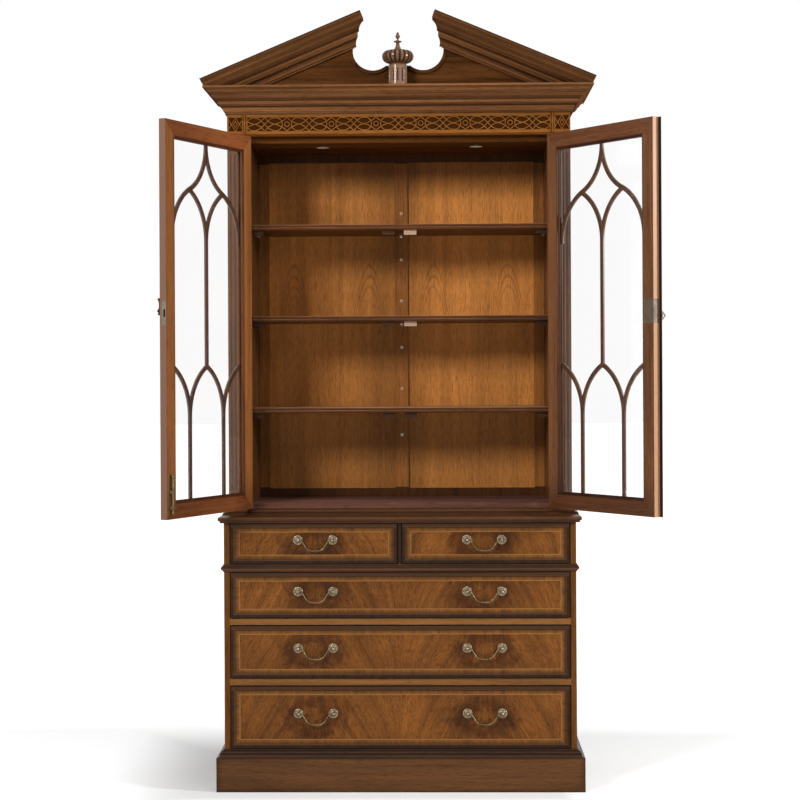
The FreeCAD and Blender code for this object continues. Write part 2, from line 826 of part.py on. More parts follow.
def diamond_ring(x, half_width, half_height):
    """Diamond strap, pointed up and down, about the middle line of the fret."""
    rings = []
    for grow in (1, -1):
        step = grow * fret_line / 2
        wide = half_width + step
        tall = half_height + step * half_height / half_width
        points = [(x + wide, 0), (x, tall), (x - wide, 0), (x, -tall)]
        rings.append(upright_prism(points, fret_front, upper_front))
    return rings[0].cut(rings[1])


def fret_panel(x0, x1, lattice):
    """Pierced panel: a border and the lattice that fills it."""
    room = box(x0 + fret_border / 2, x1 - fret_border / 2, fret_front, upper_front, fret_middle - fret_reach,
               fret_middle + fret_reach)
    border = box(x0, x1, fret_front, upper_front, fret_foot, cornice_foot).cut(room)
    pieces = []
    for shape in lattice:
        raised = shape.copy()
        raised.translate(V(0, 0, fret_middle))
        pieces += raised.common(room).Solids
    return border.multiFuse(pieces).removeSplitter().Solids


def frieze_fretwork():
    """Main panel, a block over each pilaster and the fillets between them."""
    cells = []
    for index in range(fret_repeats):
        cell = fret_cell()
        cell.translate(V((index - (fret_repeats - 1) / 2) * fret_period, 0, 0))
        cells.append(cell)
    inner = opening_half - fret_fillet_width
    main = fret_panel(fret_break - inner, inner - fret_break, cells)
    middle = upper_half - pilaster_width / 2
    diamonds = [diamond_ring(middle + side * 2 * fret_diamond_half, fret_diamond_half, fret_reach)
                for side in (-1, 0, 1)]
    small = fret_small_share
    diamonds.append(diamond_ring(middle, small * fret_diamond_half, small * fret_reach))
    block = fret_panel(opening_half + fret_break, upper_half, diamonds)
    fillet = box(inner, opening_half, upper_front - fret_fillet_rise, upper_front, fret_foot, cornice_foot)
    return main + both_sides(block + [fillet])


def cornice():
    return three_sided_run(cornice_shares, cornice_projection, cornice_height, cornice_foot,
                           upper_half, upper_front)


def raking_top(x):
    return pediment_top - (x - raking_inner) * raking_slope


def raking_cornices():
    """Moulding run square to the slope, trimmed at the inner end to a profile of its own."""
    slope = math.atan(raking_slope)
    thickness = raking_height * math.cos(slope)
    steps = moulding_steps(raking_shares, raking_projection, thickness, 0)
    start_x = raking_inner - 2 * raking_height
    run = raking_outer - start_x + raking_height
    head = raking_top(start_x)

    def place(out, up):
        down = thickness - up
        return V(start_x - down * math.sin(slope), upper_front - out, head - down * math.cos(slope))

    blank = face_through((0, 0), steps, place).extrude(V(run, 0, -run * raking_slope))
    here = (raking_inner, pediment_top + raking_height)
    outline = []
    for across_share, down_share, sag_share in raking_end_shares:
        there = (raking_inner + across_share * raking_height, pediment_top - down_share * raking_height)
        outline.append(arc_step(here, there, sag_share) if sag_share else there)
        here = there
    outline += [(here[0], cornice_top), (raking_outer - raking_tip_inset, cornice_top),
                (raking_outer, raking_top(raking_outer)), (raking_outer, pediment_top + raking_height)]
    keep = face_through((raking_inner, pediment_top + raking_height), outline,
                        lambda x, z: V(x, upper_front - raking_projection - overrun, z))
    keep = keep.extrude(V(0, raking_projection + 2 * overrun, 0))
    return both_sides([one(blank.common(keep))])


def tympanum():
    """Board behind the raking cornices with two round scoops, a bead round each, and a pedestal block."""
    centre_z = cornice_top + scoop_height
    edge = scoop_offset + scoop_radius
    reach = scoop_offset - cusp_half
    cusp = centre_z - math.sqrt(scoop_radius ** 2 - reach ** 2)
    low = centre_z - scoop_radius

    def head(x):
        return raking_top(x) - tympanum_drop

    outline = [
        (upper_half, cornice_top), (upper_half, head(upper_half)), (edge, head(edge)), (edge, centre_z),
        ((scoop_offset, low), (cusp_half, cusp)), (-cusp_half, cusp),
        ((-scoop_offset, low), (-edge, centre_z)), (-edge, head(edge)), (-upper_half, head(upper_half)),
    ]
    board = face_through((-upper_half, cornice_top), outline, lambda x, z: V(x, upper_front, z))
    inner_angle = 180 + math.degrees(math.acos(reach / scoop_radius))
    bead = arc_band(scoop_offset, centre_z, scoop_radius + scoop_bead_width / 2, scoop_bead_width / 2,
                    inner_angle, scoop_bead_end_angle, upper_front - scoop_bead_rise, upper_front)
    pedestal = box(-pedestal_half, pedestal_half, upper_front - pedestal_rise, upper_front, cornice_top,
                   cornice_top + pedestal_height)
    return [board.extrude(V(0, tympanum_thickness, 0)), pedestal] + both_sides([bead])


def finial():
    """Fluted drum and the turned urn that stands on it, its bowl cut with gadroons."""
    y = upper_front - finial_forward
    drum = rod(drum_radius, drum_height, V(0, y, cornice_top), V(0, 0, 1))
    foot = cornice_top + drum_flute_margin
    length = drum_height - 2 * drum_flute_margin
    away = drum_radius + drum_flute_lift
    flutes = []
    for index in range(drum_flutes):
        turn = 2 * math.pi * index / drum_flutes
        x = away * math.sin(turn)
        place = y - away * math.cos(turn)
        flutes.append(rod(drum_flute_radius, length, V(x, place, foot), V(0, 0, 1)))
        flutes += [Part.makeSphere(drum_flute_radius, V(x, place, z)) for z in (foot, foot + length)]
    return [one(drum.cut(flutes)), urn(y, cornice_top + drum_height)]


def urn(y, foot):
    """Turned foot, bowl and lid; round grooves follow the bowl's arc."""
    height = finial_height - drum_height
    low, wide, rim = [(radius * finial_radius, foot + up * height) for radius, up in urn_bowl_shares]
    steps = []
    here = (0, foot)
    for rows in (urn_foot_shares, urn_lid_shares):
        if rows is urn_lid_shares:
            steps.append((wide, rim))
            here = rim
        for radius_share, up_share, sag_share in rows:
            there = (radius_share * finial_radius, foot + up_share * height)
            steps.append(arc_step(here, there, sag_share) if sag_share else there)
            here = there

    def lift(radius, up):
        return V(0, y - radius, up)

    body = face_through((0, foot), steps, lift).revolve(lift(0, foot), V(0, 0, 1), 360)
    bowl = Part.Circle(lift(*low), lift(*wide), lift(*rim))
    first = bowl.parameter(lift(*low))
    sweep = (bowl.parameter(lift(*rim)) - first) % (2 * math.pi)
    start = first - gadroon_start_share * sweep
    ring = Part.Wire(Part.makeCircle(gadroon_radius, bowl.value(start), bowl.tangent(start)[0]))
    length = math.degrees((1 + gadroon_start_share + gadroon_end_share) * sweep)
    groove = Part.Face(ring).revolve(bowl.Center, bowl.Axis, length)
    grooves = []
    for index in range(gadroon_count):
        turned_groove = groove.copy()
        turned_groove.rotate(lift(0, foot), V(0, 0, 1), 360 * (index + 0.5) / gadroon_count)
        grooves.append(turned_groove)
    return one(body.cut(grooves))


# Inside the upper stage

def shelf_levels():
    return [floor_top + shelf_first_height + index * shelf_pitch for index in range(3)]


shelf_half = lining_face - shelf_end_gap
shelf_front = frame_rear + shelf_front_inset


def shelves():
    """Boards whose front edge carries two beads."""
    boards = []
    for head in shelf_levels():
        foot = head - shelf_thickness
        middle = (foot + head) / 2
        steps = [(back_face, foot), (back_face, head), (shelf_front, head),
                 arc_step((shelf_front, head), (shelf_front, middle), -shelf_bead_sag_share),
                 arc_step((shelf_front, middle), (shelf_front, foot), -shelf_bead_sag_share)]
        face = face_through((shelf_front, foot), steps, lambda y, z: V(-shelf_half, y, z))
        boards.append(face.extrude(V(2 * shelf_half, 0, 0)))
    return boards


def shelf_blocks():
    """Small blocks under each shelf: one at each end and one on each side of the centre pins."""
    blocks = []
    front = shelf_front + shelf_block_depth / 2
    for head in shelf_levels():
        under = head - shelf_thickness
        for x0 in (back_centre_width / 3, shelf_half - shelf_block_width):
            blocks += both_sides([box(x0, x0 + shelf_block_width, front, front + shelf_block_depth,
                                      under - shelf_block_height, under)])
    return blocks


def shelf_pins():
    """Pins that carry the shelves, and a sleeve in every pin hole."""
    pins = []
    bore = pin_radius
    carrying = [head - shelf_thickness - pin_radius for head in shelf_levels()]
    for z in pin_heights():
        holds = any(abs(z - level) < pin_radius for level in carrying)
        for y in pin_columns:
            place = V(lining_face, y, z)
            tube = rod(sleeve_radius, sleeve_length, place, V(1, 0, 0))
            tube = tube.cut(rod(bore, sleeve_length, place, V(1, 0, 0)))
            pins += both_sides([one(tube)])
            if holds:
                tip = V(lining_face - pin_reach, y, z)
                pins += both_sides([rod(pin_radius, pin_reach + pin_depth, tip, V(1, 0, 0))])
        place = V(0, back_face, z)
        tube = rod(sleeve_radius, sleeve_length, place, V(0, 1, 0))
        pins.append(one(tube.cut(rod(bore, sleeve_length, place, V(0, 1, 0)))))
        if holds:
            pins.append(rod(pin_radius, pin_reach + pin_depth, V(0, back_face - pin_reach, z), V(0, 1, 0)))
    return pins


def light_housings():
    """Cups let into the ceiling, with a rim below it and a recess for the lens."""
    y = upper_front + light_setback
    cup = rod(light_radius - light_lip, board_thickness, V(light_offset, y, ceiling), V(0, 0, 1))
    rim = rod(light_radius, light_lip, V(light_offset, y, ceiling - light_lip), V(0, 0, 1))
    recess = rod(lens_radius, lens_thickness, V(light_offset, y, ceiling - light_lip), V(0, 0, 1))
    return both_sides([one(cup.fuse(rim).cut(recess))])


def light_lenses():
    foot = V(light_offset, upper_front + light_setback, ceiling - light_lip)
    return both_sides([rod(lens_radius - lens_gap, lens_thickness, foot, V(0, 0, 1))])


# Doors, drawn shut on the left, then mirrored for the right and swung open

def hinge_feet():
    span = door_height - 2 * hinge_inset - hinge_height
    return [door_foot + hinge_inset + index * span / 2 for index in range(3)]


def door_hinge_leaves():
    """Leaf on the door's edge with the middle knuckle and the pin."""
    leaves = []
    third = hinge_height / 3
    for foot in hinge_feet():
        x0 = -door_outer - hinge_leaf_thickness
        plate = box(x0, -door_outer, upper_front, upper_front + hinge_leaf_depth, foot, foot + hinge_height)
        low = foot + third + knuckle_gap
        high = foot + 2 * third - knuckle_gap
        tab = box(x0, -door_outer, pin_y, upper_front, low, high)
        knuckle = rod(knuckle_radius, high - low, V(-pin_x, pin_y, low), V(0, 0, 1))
        pin = rod(hinge_pin_radius, hinge_height, V(-pin_x, pin_y, foot), V(0, 0, 1))
        leaves.append(one(plate.multiFuse([tab, knuckle, pin])))
    return leaves


def case_hinge_leaves():
    """Leaf on the pilaster with the upper and lower knuckles, bored for the pin."""
    leaves = []
    third = hinge_height / 3
    for foot in hinge_feet():
        x1 = -opening_half + hinge_leaf_thickness
        leaf = box(-opening_half, x1, upper_front, upper_front + hinge_leaf_depth, foot, foot + hinge_height)
        for low in (foot, foot + 2 * third):
            tab = box(-opening_half, x1, pin_y, upper_front, low, low + third)
            leaf = leaf.multiFuse([tab, rod(knuckle_radius, third, V(-pin_x, pin_y, low), V(0, 0, 1))])
        bore = rod(hinge_pin_radius + pivot_clearance, hinge_height, V(-pin_x, pin_y, foot), V(0, 0, 1))
        leaves.append(one(leaf.cut(bore)))
    return leaves


def door_frame():
    """Mitred stiles and rails with a moulded lip in front of the glass."""
    steps = [(frame_width, 0), arc_step((frame_width, 0), (sight_inset, lip_depth / 2), -ovolo_sag_share),
             (sight_inset, lip_depth), (frame_width, lip_depth), (frame_width, door_thickness),
             (0, door_thickness)]
    return mitred_frame(-door_outer, -door_meet, door_foot, door_head, sight_inset, (0, 0), steps,
                        upper_front)


def glazing_beads():
    """Beads behind the glass, mitred round the rebate."""
    seat = lip_depth + glass_thickness
    nose = (sight_inset, seat + lip_width / 4)
    heel = (frame_width + lip_width / 4, door_thickness)
    steps = [(sight_inset, seat), nose, arc_step(nose, heel, ovolo_sag_share), (frame_width, door_thickness)]
    return mitred_frame(-door_outer, -door_meet, door_foot, door_head, sight_inset, (frame_width, seat),
                        steps, upper_front)


def door_glass():
    edge = frame_width + glass_edge_gap
    front = upper_front + lip_depth
    return [box(-door_outer + edge, -door_meet - edge, front, front + glass_thickness, door_foot + edge,
                door_head - edge)]


def tracery():
    """Two lancets under an ogee at the top, a middle bar, and a lancet between half arches below."""
    left = -door_outer + sight_inset
    right = -door_meet - sight_inset
    middle = (left + right) / 2
    quarter = (right - left) / 4
    head = door_head - sight_inset
    foot = door_foot + sight_inset
    rise = math.sqrt(2 * quarter * arch_radius - quarter ** 2)
    lancet = door_head - lancet_drop
    spring = lancet - rise
    apex = door_foot + lower_apex_height
    lower_spring = apex - rise
    lean = math.degrees(math.asin(rise / arch_radius))
    climb = head - lancet
    ogee = (quarter ** 2 + climb ** 2) / (2 * quarter)
    ogee_lean = math.degrees(math.asin(climb / ogee))
    rear_y = upper_front + lip_depth

    def bars(width, y0):
        half = width / 2

        def leg(x, foot_z, side):
            centre = x + side * arch_radius
            start = 180 if side > 0 else 0
            return arc_band(centre, foot_z, arch_radius, half, start, start - side * lean, y0, rear_y)

        def upright(x, z0, z1):
            return box(x - half, x + half, y0, rear_y, z0, z1)

        pieces = [leg(left, spring, 1), leg(middle, spring, -1), leg(middle, spring, 1),
                  leg(right, spring, -1)]
        for side in (-1, 1):
            start = 0 if side < 0 else 180
            pieces.append(arc_band(middle + side * ogee, head, ogee, half, start, start + side * ogee_lean,
                                   y0, rear_y))
            x = middle + side * quarter
            pieces += [leg(x, lower_spring, -1), leg(x, lower_spring, 1), upright(x, foot, lower_spring)]
        pieces.append(upright(middle, apex - bar_width / 2, spring))
        return pieces

    sight = box(left, right, upper_front, rear_y, foot, head)
    solids = bars(bar_width, rear_y - bar_depth)
    solids += bars(bar_ridge_width, rear_y - bar_depth - bar_ridge_depth)
    fused = solids[0].multiFuse(solids[1:]).common(sight).removeSplitter()
    return [one(fused)]


def lock_middle():
    return door_foot + lock_height


def swing(solids, side):
    """Turn a door's pieces about its hinge pin to the open position."""
    angle = -left_open_angle if side < 0 else right_open_angle
    turned = []
    for solid in solids:
        copy = solid.copy()
        copy.rotate(V(side * pin_x, pin_y, 0), V(0, 0, 1), angle)
        turned.append(copy)
    return turned


def left_door():
    frame = door_frame()
    middle = lock_middle()
    slot_half = lock_bolt_height / 2 + 2 * lock_bolt_gap
    slot_y = door_rear - lock_depth / 2
    slot_gap = lock_bolt_thickness / 2 + 2 * lock_bolt_gap
    mortise = box(-door_meet - lock_throw - overrun, -door_meet + overrun, slot_y - slot_gap,
                  slot_y + slot_gap, middle - slot_half, middle + slot_half)
    frame[3] = one(frame[3].cut(mortise))
    save("left_door_frame", swing(frame + glazing_beads(), -1))
    save("left_door_tracery", swing(tracery(), -1))
    save("left_door_glass", swing(door_glass(), -1))

    plate = box(-door_meet, -door_meet + strike_thickness, door_rear - strike_width, door_rear,
                middle - lock_plate_height / 2, middle + lock_plate_height / 2)
    strike = one(plate.cut(mortise))
    pull = cast_pull(-door_meet - cast_pull_setback, middle + cast_pull_lift)
    save("left_door_fittings", swing(door_hinge_leaves() + [strike, pull, bolt_case()], -1))
    save("left_door_bolt", swing([bolt_rod()], -1))


def cast_pull(x, centre):
    """Cast pull on a narrow plate: two bosses with a finger gap behind the grip between them."""
    half = pull_plate_width / 2
    plate = box(x - half, x + half, upper_front - pull_plate_thickness, upper_front,
                centre - pull_plate_height / 2, centre + pull_plate_height / 2)

    def lift(out_share, up_share):
        return V(x - cast_pull_width / 2, upper_front - out_share * cast_pull_reach,
                 centre + up_share * cast_pull_height / 2)

    points = [lift(out, up) for out, up in cast_pull_shares]
    blank = Part.Face(Part.makePolygon(points + points[:1]))
    return one(plate.fuse(blank.extrude(V(cast_pull_width, 0, 0))))


def bolt_case():
    """Brass plate with two staples that guide the bolt."""
    x, y = bolt_place()
    foot = door_foot + bolt_plate_lift
    half = bolt_plate_width / 2
    plate = box(x - half, x + half, door_rear, door_rear + bolt_plate_thickness, foot,
                foot + bolt_plate_height)
    bore = bolt_radius + bolt_bore_gap
    staples = []
    for low in (foot + bolt_staple_height, foot + bolt_plate_height / 2):
        block = box(x - bolt_staple_half, x + bolt_staple_half, door_rear + bolt_plate_thickness,
                    y + bolt_staple_half, low, low + bolt_staple_height)
        staples.append(block.cut(rod(bore, bolt_staple_height, V(x, y, low), V(0, 0, 1))))
    return one(plate.multiFuse(staples))


def bolt_rod():
    x, y = bolt_place()
    foot = floor_top + bolt_floor_gap
    head = door_foot + bolt_plate_lift + bolt_plate_height
    return turned(bolt_shares, bolt_radius, head - foot, foot, lambda radius, up: V(x + radius, y, up))


def right_door():
    frame = mirrored(door_frame())
    middle = lock_middle()
    x0 = door_meet
    low = middle - lock_plate_height / 2
    high = middle + lock_plate_height / 2
    edge = upper_front + selvedge_margin
    pocket = box(x0 - overrun, x0 + lock_width, door_rear - lock_depth, door_rear + overrun, low, high)
    recess = box(x0 - overrun, x0 + selvedge_thickness, edge, door_rear, low, high)
    key_x = x0 + key_setback
    key_z = middle - lock_bolt_height / 2 - key_drop
    bore_foot = V(key_x, upper_front - overrun, key_z)
    bore = rod(key_radius + pivot_clearance, door_thickness, bore_foot, V(0, 1, 0))
    frame[3] = one(frame[3].cut([pocket, recess, bore]))
    save("right_door_frame", swing(frame + mirrored(glazing_beads()), 1))
    save("right_door_tracery", swing(mirrored(tracery()), 1))
    save("right_door_glass", swing(mirrored(door_glass()), 1))

    body = box(x0, x0 + lock_width, door_rear - lock_depth, door_rear, low, high)
    body = one(body.fuse(box(x0, x0 + selvedge_thickness, edge, door_rear, low, high)))
    bolt_y = door_rear - lock_depth / 2
    half_y = lock_bolt_thickness / 2
    half_z = lock_bolt_height / 2
    gap = lock_bolt_gap
    channel = box(x0 - overrun, x0 + lock_bolt_length + gap, bolt_y - half_y - gap, bolt_y + half_y + gap,
                  middle - half_z - gap, middle + half_z + gap)
    body = one(body.cut([channel, bore]))
    escutcheon = rod(escutcheon_radius, escutcheon_thickness, V(key_x, upper_front, key_z), V(0, -1, 0))
    escutcheon = one(escutcheon.cut(bore))
    save("right_door_lock", swing(mirrored(door_hinge_leaves()) + [body, escutcheon], 1))
    bolt = box(x0, x0 + lock_bolt_length, bolt_y - half_y, bolt_y + half_y, middle - half_z, middle + half_z)
    save("right_door_lock_bolt", swing([bolt], 1))

    tip = bolt_y - half_y - 2 * gap
    bow_x = key_x - key_bow_thickness / 2
    bow_y = upper_front - key_reach
    shank = rod(key_radius, tip - bow_y, V(key_x, bow_y, key_z), V(0, 1, 0))
    lobes = [(bow_y, key_z + key_bow_spacing), (bow_y, key_z - key_bow_spacing),
             (bow_y - key_bow_spacing, key_z)]
    discs = [rod(key_bow_radius, key_bow_thickness, V(bow_x, y, z), V(1, 0, 0)) for y, z in lobes]
    holes = [rod(key_bow_hole, key_bow_thickness, V(bow_x, y, z), V(1, 0, 0)) for y, z in lobes]
    bow = discs[0].multiFuse(discs[1:]).cut(holes)
    save("right_door_key", swing([one(shank.fuse(bow))], 1))

    back = -astragal_clearance
    face = [(-astragal_half, back), (x0, back), (x0, 0), (astragal_half, 0)]
    steps = face[1:] + [arc_step(face[-1], face[0], astragal_sag_share)]
    strip = face_through(face[0], steps, lambda x, out: V(x, upper_front + out, door_foot))
    save("right_door_astragal", swing([strip.extrude(V(0, 0, door_height))], 1))


def case_fittings():
    """Hinge leaves on both pilasters, and the strike plate that takes the bolt."""
    x, y = bolt_place()
    half = floor_strike_length / 2
    plate = box(x - half, x + half, frame_rear, y + bolt_staple_half, floor_top - floor_strike_thickness,
                floor_top)
    hole = rod(bolt_radius + 2 * bolt_bore_gap, floor_strike_thickness,
               V(x, y, floor_top - floor_strike_thickness), V(0, 0, 1))
    return both_sides(case_hinge_leaves()) + [one(plate.cut(hole))]


# Every node of the cabinet

save("plinth_boards", plinth_boards())
save("base_mouldings", base_mouldings())
save("base_carcase", base_carcase())
save("drawer_rails", drawer_rails())
save("base_top_board", base_top_board())
drawers()
save("waist_moulding", three_sided_run(waist_shares, waist_projection, foot_height, base_top, upper_half,
                                       upper_front))
save("upper_sides", upper_sides())
save("side_linings", side_linings())
save("floor_and_top_boards", floor_and_top_boards())
save("back_frame", back_frame())
save("back_panels", back_panels())
save("pilasters", pilasters())
save("frieze_board", frieze_board())
save("frieze_fretwork", frieze_fretwork())
save("cornice", cornice())
save("raking_cornices", raking_cornices())
save("tympanum", tympanum())
save("finial", finial())
save("shelves", shelves())
save("shelf_blocks", shelf_blocks())
save("shelf_pins", shelf_pins())
save("light_housings", light_housings())
save("light_lenses", light_lenses())
left_door()
right_door()
save("case_fittings", case_fittings())
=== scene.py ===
# %% [markdown]
# # A two-stage display cabinet
# The cabinet is a chest of drawers with a glazed bookcase on it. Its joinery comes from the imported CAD
# model, so the lesson is about finishes: polished veneers, brass, glass, and a few small fitted pieces.
# The CAD model is loaded first and never moved. Everything is in metres, with the floor at z = 0 and the
# front facing -Y.

# %% Load the frame
import json
import math

import bpy
from mathutils import Matrix, Vector


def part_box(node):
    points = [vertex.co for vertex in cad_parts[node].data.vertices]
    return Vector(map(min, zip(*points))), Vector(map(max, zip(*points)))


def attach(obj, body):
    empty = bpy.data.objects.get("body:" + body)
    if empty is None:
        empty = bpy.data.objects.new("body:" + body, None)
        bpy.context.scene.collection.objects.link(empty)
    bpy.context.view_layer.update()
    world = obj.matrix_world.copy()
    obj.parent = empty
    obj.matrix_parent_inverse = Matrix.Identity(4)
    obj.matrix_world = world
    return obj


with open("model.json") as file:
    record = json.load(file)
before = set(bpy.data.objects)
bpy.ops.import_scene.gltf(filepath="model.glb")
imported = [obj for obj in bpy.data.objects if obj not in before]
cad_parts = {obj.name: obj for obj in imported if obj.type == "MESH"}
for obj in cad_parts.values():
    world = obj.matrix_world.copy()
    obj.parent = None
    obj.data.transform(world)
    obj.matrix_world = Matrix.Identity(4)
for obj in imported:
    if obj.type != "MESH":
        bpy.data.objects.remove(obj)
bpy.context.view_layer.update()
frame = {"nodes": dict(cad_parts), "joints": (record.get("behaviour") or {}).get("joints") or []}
nodes = frame["nodes"]
bpy.ops.object.select_all(action="DESELECT")

# %% [markdown]
# ## Small helpers for shader nodes
# A finish is a tree of nodes. It could be wired by hand in the shader editor, but a script can repeat it for
# every drawer and door. A few helpers keep the cells below short: some add a node and set its values, some
# measure where a point lies, and others turn a number into a colour.

# %% Helpers that add nodes
def finish(name, roughness=0.5, specular=0.5, coat=0.0):
    """New material; returns it with its tree and its Principled shader."""
    material = bpy.data.materials.new(name)
    material.use_nodes = True
    shader = material.node_tree.nodes["Principled BSDF"]
    shader.inputs["Roughness"].default_value = roughness
    shader.inputs["Specular IOR Level"].default_value = specular
    shader.inputs["Coat Weight"].default_value = coat
    shader.inputs["Coat Roughness"].default_value = 0.10
    return material, material.node_tree, shader


def feed(tree, socket, value):
    """Link a socket to a socket, or write a number or vector on it."""
    if isinstance(value, bpy.types.NodeSocket):
        tree.links.new(value, socket)
    else:
        socket.default_value = value


def node(tree, kind, inputs=None, **settings):
    made = tree.nodes.new("ShaderNode" + kind)
    for key, value in settings.items():
        setattr(made, key, value)
    for key, value in (inputs or {}).items():
        feed(tree, made.inputs[key], value)
    return made


def calc(tree, operation, first, second=0.0, third=0.0):
    made = node(tree, "Math", {0: first, 1: second, 2: third}, operation=operation)
    return made.outputs[0]


print("node helpers ready")

# %% Helpers that measure
def place_axes(tree):
    """Object coordinates and their three parts."""
    place = node(tree, "TexCoord").outputs["Object"]
    parts = node(tree, "SeparateXYZ", {0: place}).outputs
    return place, parts["X"], parts["Y"], parts["Z"]


def facing(tree, axis):
    """How far a face looks along an axis, from -1 to 1."""
    return node(tree, "SeparateXYZ", {0: node(tree, "TexCoord").outputs["Normal"]}).outputs[axis]


def fade(tree, value, start, end):
    """0 at start, 1 at end, smooth between."""
    made = node(tree, "MapRange", {"Value": value, "From Min": start, "From Max": end},
                interpolation_type="SMOOTHSTEP")
    return made.outputs["Result"]


def between(tree, value, low, high):
    """1 between two numbers, else 0."""
    return calc(tree, "MULTIPLY", calc(tree, "GREATER_THAN", value, low),
                calc(tree, "LESS_THAN", value, high))


def level_between(tree, value, low, high):
    """0 at low and 1 at high, along a straight line."""
    return calc(tree, "DIVIDE", calc(tree, "SUBTRACT", value, low), high - low)


def to_nearer_end(tree, value, low, high):
    """Distance to the nearer of two ends."""
    return calc(tree, "MINIMUM", calc(tree, "SUBTRACT", value, low), calc(tree, "SUBTRACT", high, value))


print("measuring helpers ready")

# %% Helpers that colour
def ramp(tree, value, stops):
    """Colour for a number from 0 to 1; a stop is a place and a colour, or a place and a grey."""
    made = node(tree, "ValToRGB", {"Fac": value})
    elements = made.color_ramp.elements
    while len(elements) < len(stops):
        elements.new(0.5)
    for element, (place, colour) in zip(elements, stops):
        element.position = place
        element.color = (*colour, 1.0) if isinstance(colour, tuple) else (colour, colour, colour, 1.0)
    return made.outputs["Color"]


def blend(tree, share, first, second, mode="MIX"):
    made = node(tree, "Mix", {0: share}, data_type="RGBA", blend_type=mode)
    for socket, colour in ((made.inputs[6], first), (made.inputs[7], second)):
        feed(tree, socket, colour if isinstance(colour, bpy.types.NodeSocket) else (*colour, 1.0))
    return made.outputs[2]


def darken(tree, colour, shade, share=1.0):
    """Colour multiplied by a shade, wholly or by a share."""
    return blend(tree, share, colour, shade, "MULTIPLY")


print("colour helpers ready")

# %% [markdown]
# ## Wood grain
# Straight-grained mahogany shows four things at once: broad bands of tone a hand wide, streaks a finger
# wide, fine lines, and short dark pores. Each is noise that is stretched along the grain. A picture of wood
# would need a map for every face, while noise fills the whole board and shows on every side of it. The
# grain runs along the length of each board, so the coordinates are turned first, until X lies along it.

# %% Grain coordinates
ALONG_X = (0.0, 0.0, 0.0)
ALONG_Y = (0.0, 0.0, math.radians(-90))
ALONG_Z = (0.0, math.radians(90), 0.0)
LOOKS_ASIDE = 0.6


def board_run(tree, run):
    """Object coordinates turned so that X lies along the board."""
    place = node(tree, "TexCoord").outputs["Object"]
    return node(tree, "Mapping", {"Vector": place, "Rotation": run}).outputs["Vector"]


def pick_run(tree, mask, first, second):
    """Coordinates of the second run where mask is 1, else of the first."""
    made = node(tree, "Mix", {0: mask}, data_type="VECTOR")
    feed(tree, made.inputs[4], first)
    feed(tree, made.inputs[5], second)
    return made.outputs[1]


def corner_run(tree, front_run, side_run):
    """Grain that turns the corner: a second run on faces that look left or right."""
    mask = calc(tree, "GREATER_THAN", calc(tree, "ABSOLUTE", facing(tree, "X")), LOOKS_ASIDE)
    return pick_run(tree, mask, board_run(tree, front_run), board_run(tree, side_run))


print("grain coordinates ready")

# %% Grain colours
def cloud(tree, place, scale, detail=2.0, roughness=0.5, distortion=0.0):
    """Noise that is the same in every direction."""
    made = node(tree, "TexNoise", {"Vector": place, "Scale": scale, "Detail": detail,
                                   "Roughness": roughness, "Distortion": distortion})
    return made.outputs["Fac"]


def stretched_noise(tree, run, along, across, detail=4.0, distortion=0.0):
    """Noise with its own scale along the grain and across it."""
    scaled = node(tree, "VectorMath", {0: run, 1: (along, across, across)}, operation="MULTIPLY")
    return cloud(tree, scaled.outputs[0], 1.0, detail, 0.6, distortion)


def wood_colour(tree, run, colours, band=1.0, streaks=1.0):
    """Colour, streaks and pores of straight-grained wood; colours are dark, mid and pale."""
    dark, mid, pale = colours
    broad = stretched_noise(tree, run, 0.9, 9.0 * band, 2.0, 0.6)
    streak = stretched_noise(tree, run, 2.0, 64.0 * streaks, 4.0, 0.4)
    line = stretched_noise(tree, run, 3.0, 260.0, 2.0)
    fine = calc(tree, "MULTIPLY_ADD", streak, 0.42, calc(tree, "MULTIPLY", line, 0.18))
    tone = calc(tree, "MULTIPLY_ADD", broad, 0.40, fine)
    colour = ramp(tree, tone, [(0.34, dark), (0.50, mid), (0.66, pale)])
    pore = stretched_noise(tree, run, 26.0, 600.0, 2.0)
    pores = ramp(tree, pore, [(0.36, (0.62, 0.56, 0.52)), (0.46, 1.0)])
    return darken(tree, colour, pores), streak, pore


def tones(mid, spread=1.0):
    """Dark, mid and pale of one wood."""
    dark = tuple(part * (1.0 - 0.48 * spread) for part in mid)
    pale = tuple(part * (1.0 + 0.42 * spread) for part in mid)
    return dark, mid, pale


print("grain colours ready")

# %% Polish
WOOD_GLOSS = 0.10
DULL_GLOSS = 0.0
OPEN_GRAIN = 0.10


def polish(tree, shader, colour, streak, pore, bump=OPEN_GRAIN):
    """Colour, a little variation of gloss and a fine open grain."""
    feed(tree, shader.inputs["Base Color"], colour)
    feed(tree, shader.inputs["Roughness"], calc(tree, "MULTIPLY_ADD", streak, 0.20, 0.24))
    height = calc(tree, "ADD", calc(tree, "MULTIPLY", streak, 0.5), calc(tree, "MULTIPLY", pore, 0.5))
    made = node(tree, "Bump", {"Height": height, "Strength": bump, "Distance": 0.0006})
    feed(tree, shader.inputs["Normal"], made.outputs["Normal"])


def plain_wood(name, run, colours, side_run=None, band=1.0, gloss=WOOD_GLOSS):
    """Wood for boards that all run one way, or turn the corner into a second run."""
    material, tree, shader = finish(name, specular=gloss)
    grain = board_run(tree, run) if side_run is None else corner_run(tree, run, side_run)
    colour, streak, pore = wood_colour(tree, grain, colours, band)
    polish(tree, shader, colour, streak, pore)
    return material


def dress(material, *names):
    """Give a finish to CAD nodes by name."""
    for name in names:
        if not nodes[name].material_slots:
            nodes[name].data.materials.append(material)
        for slot in nodes[name].material_slots:
            slot.material = material


print("polish ready")

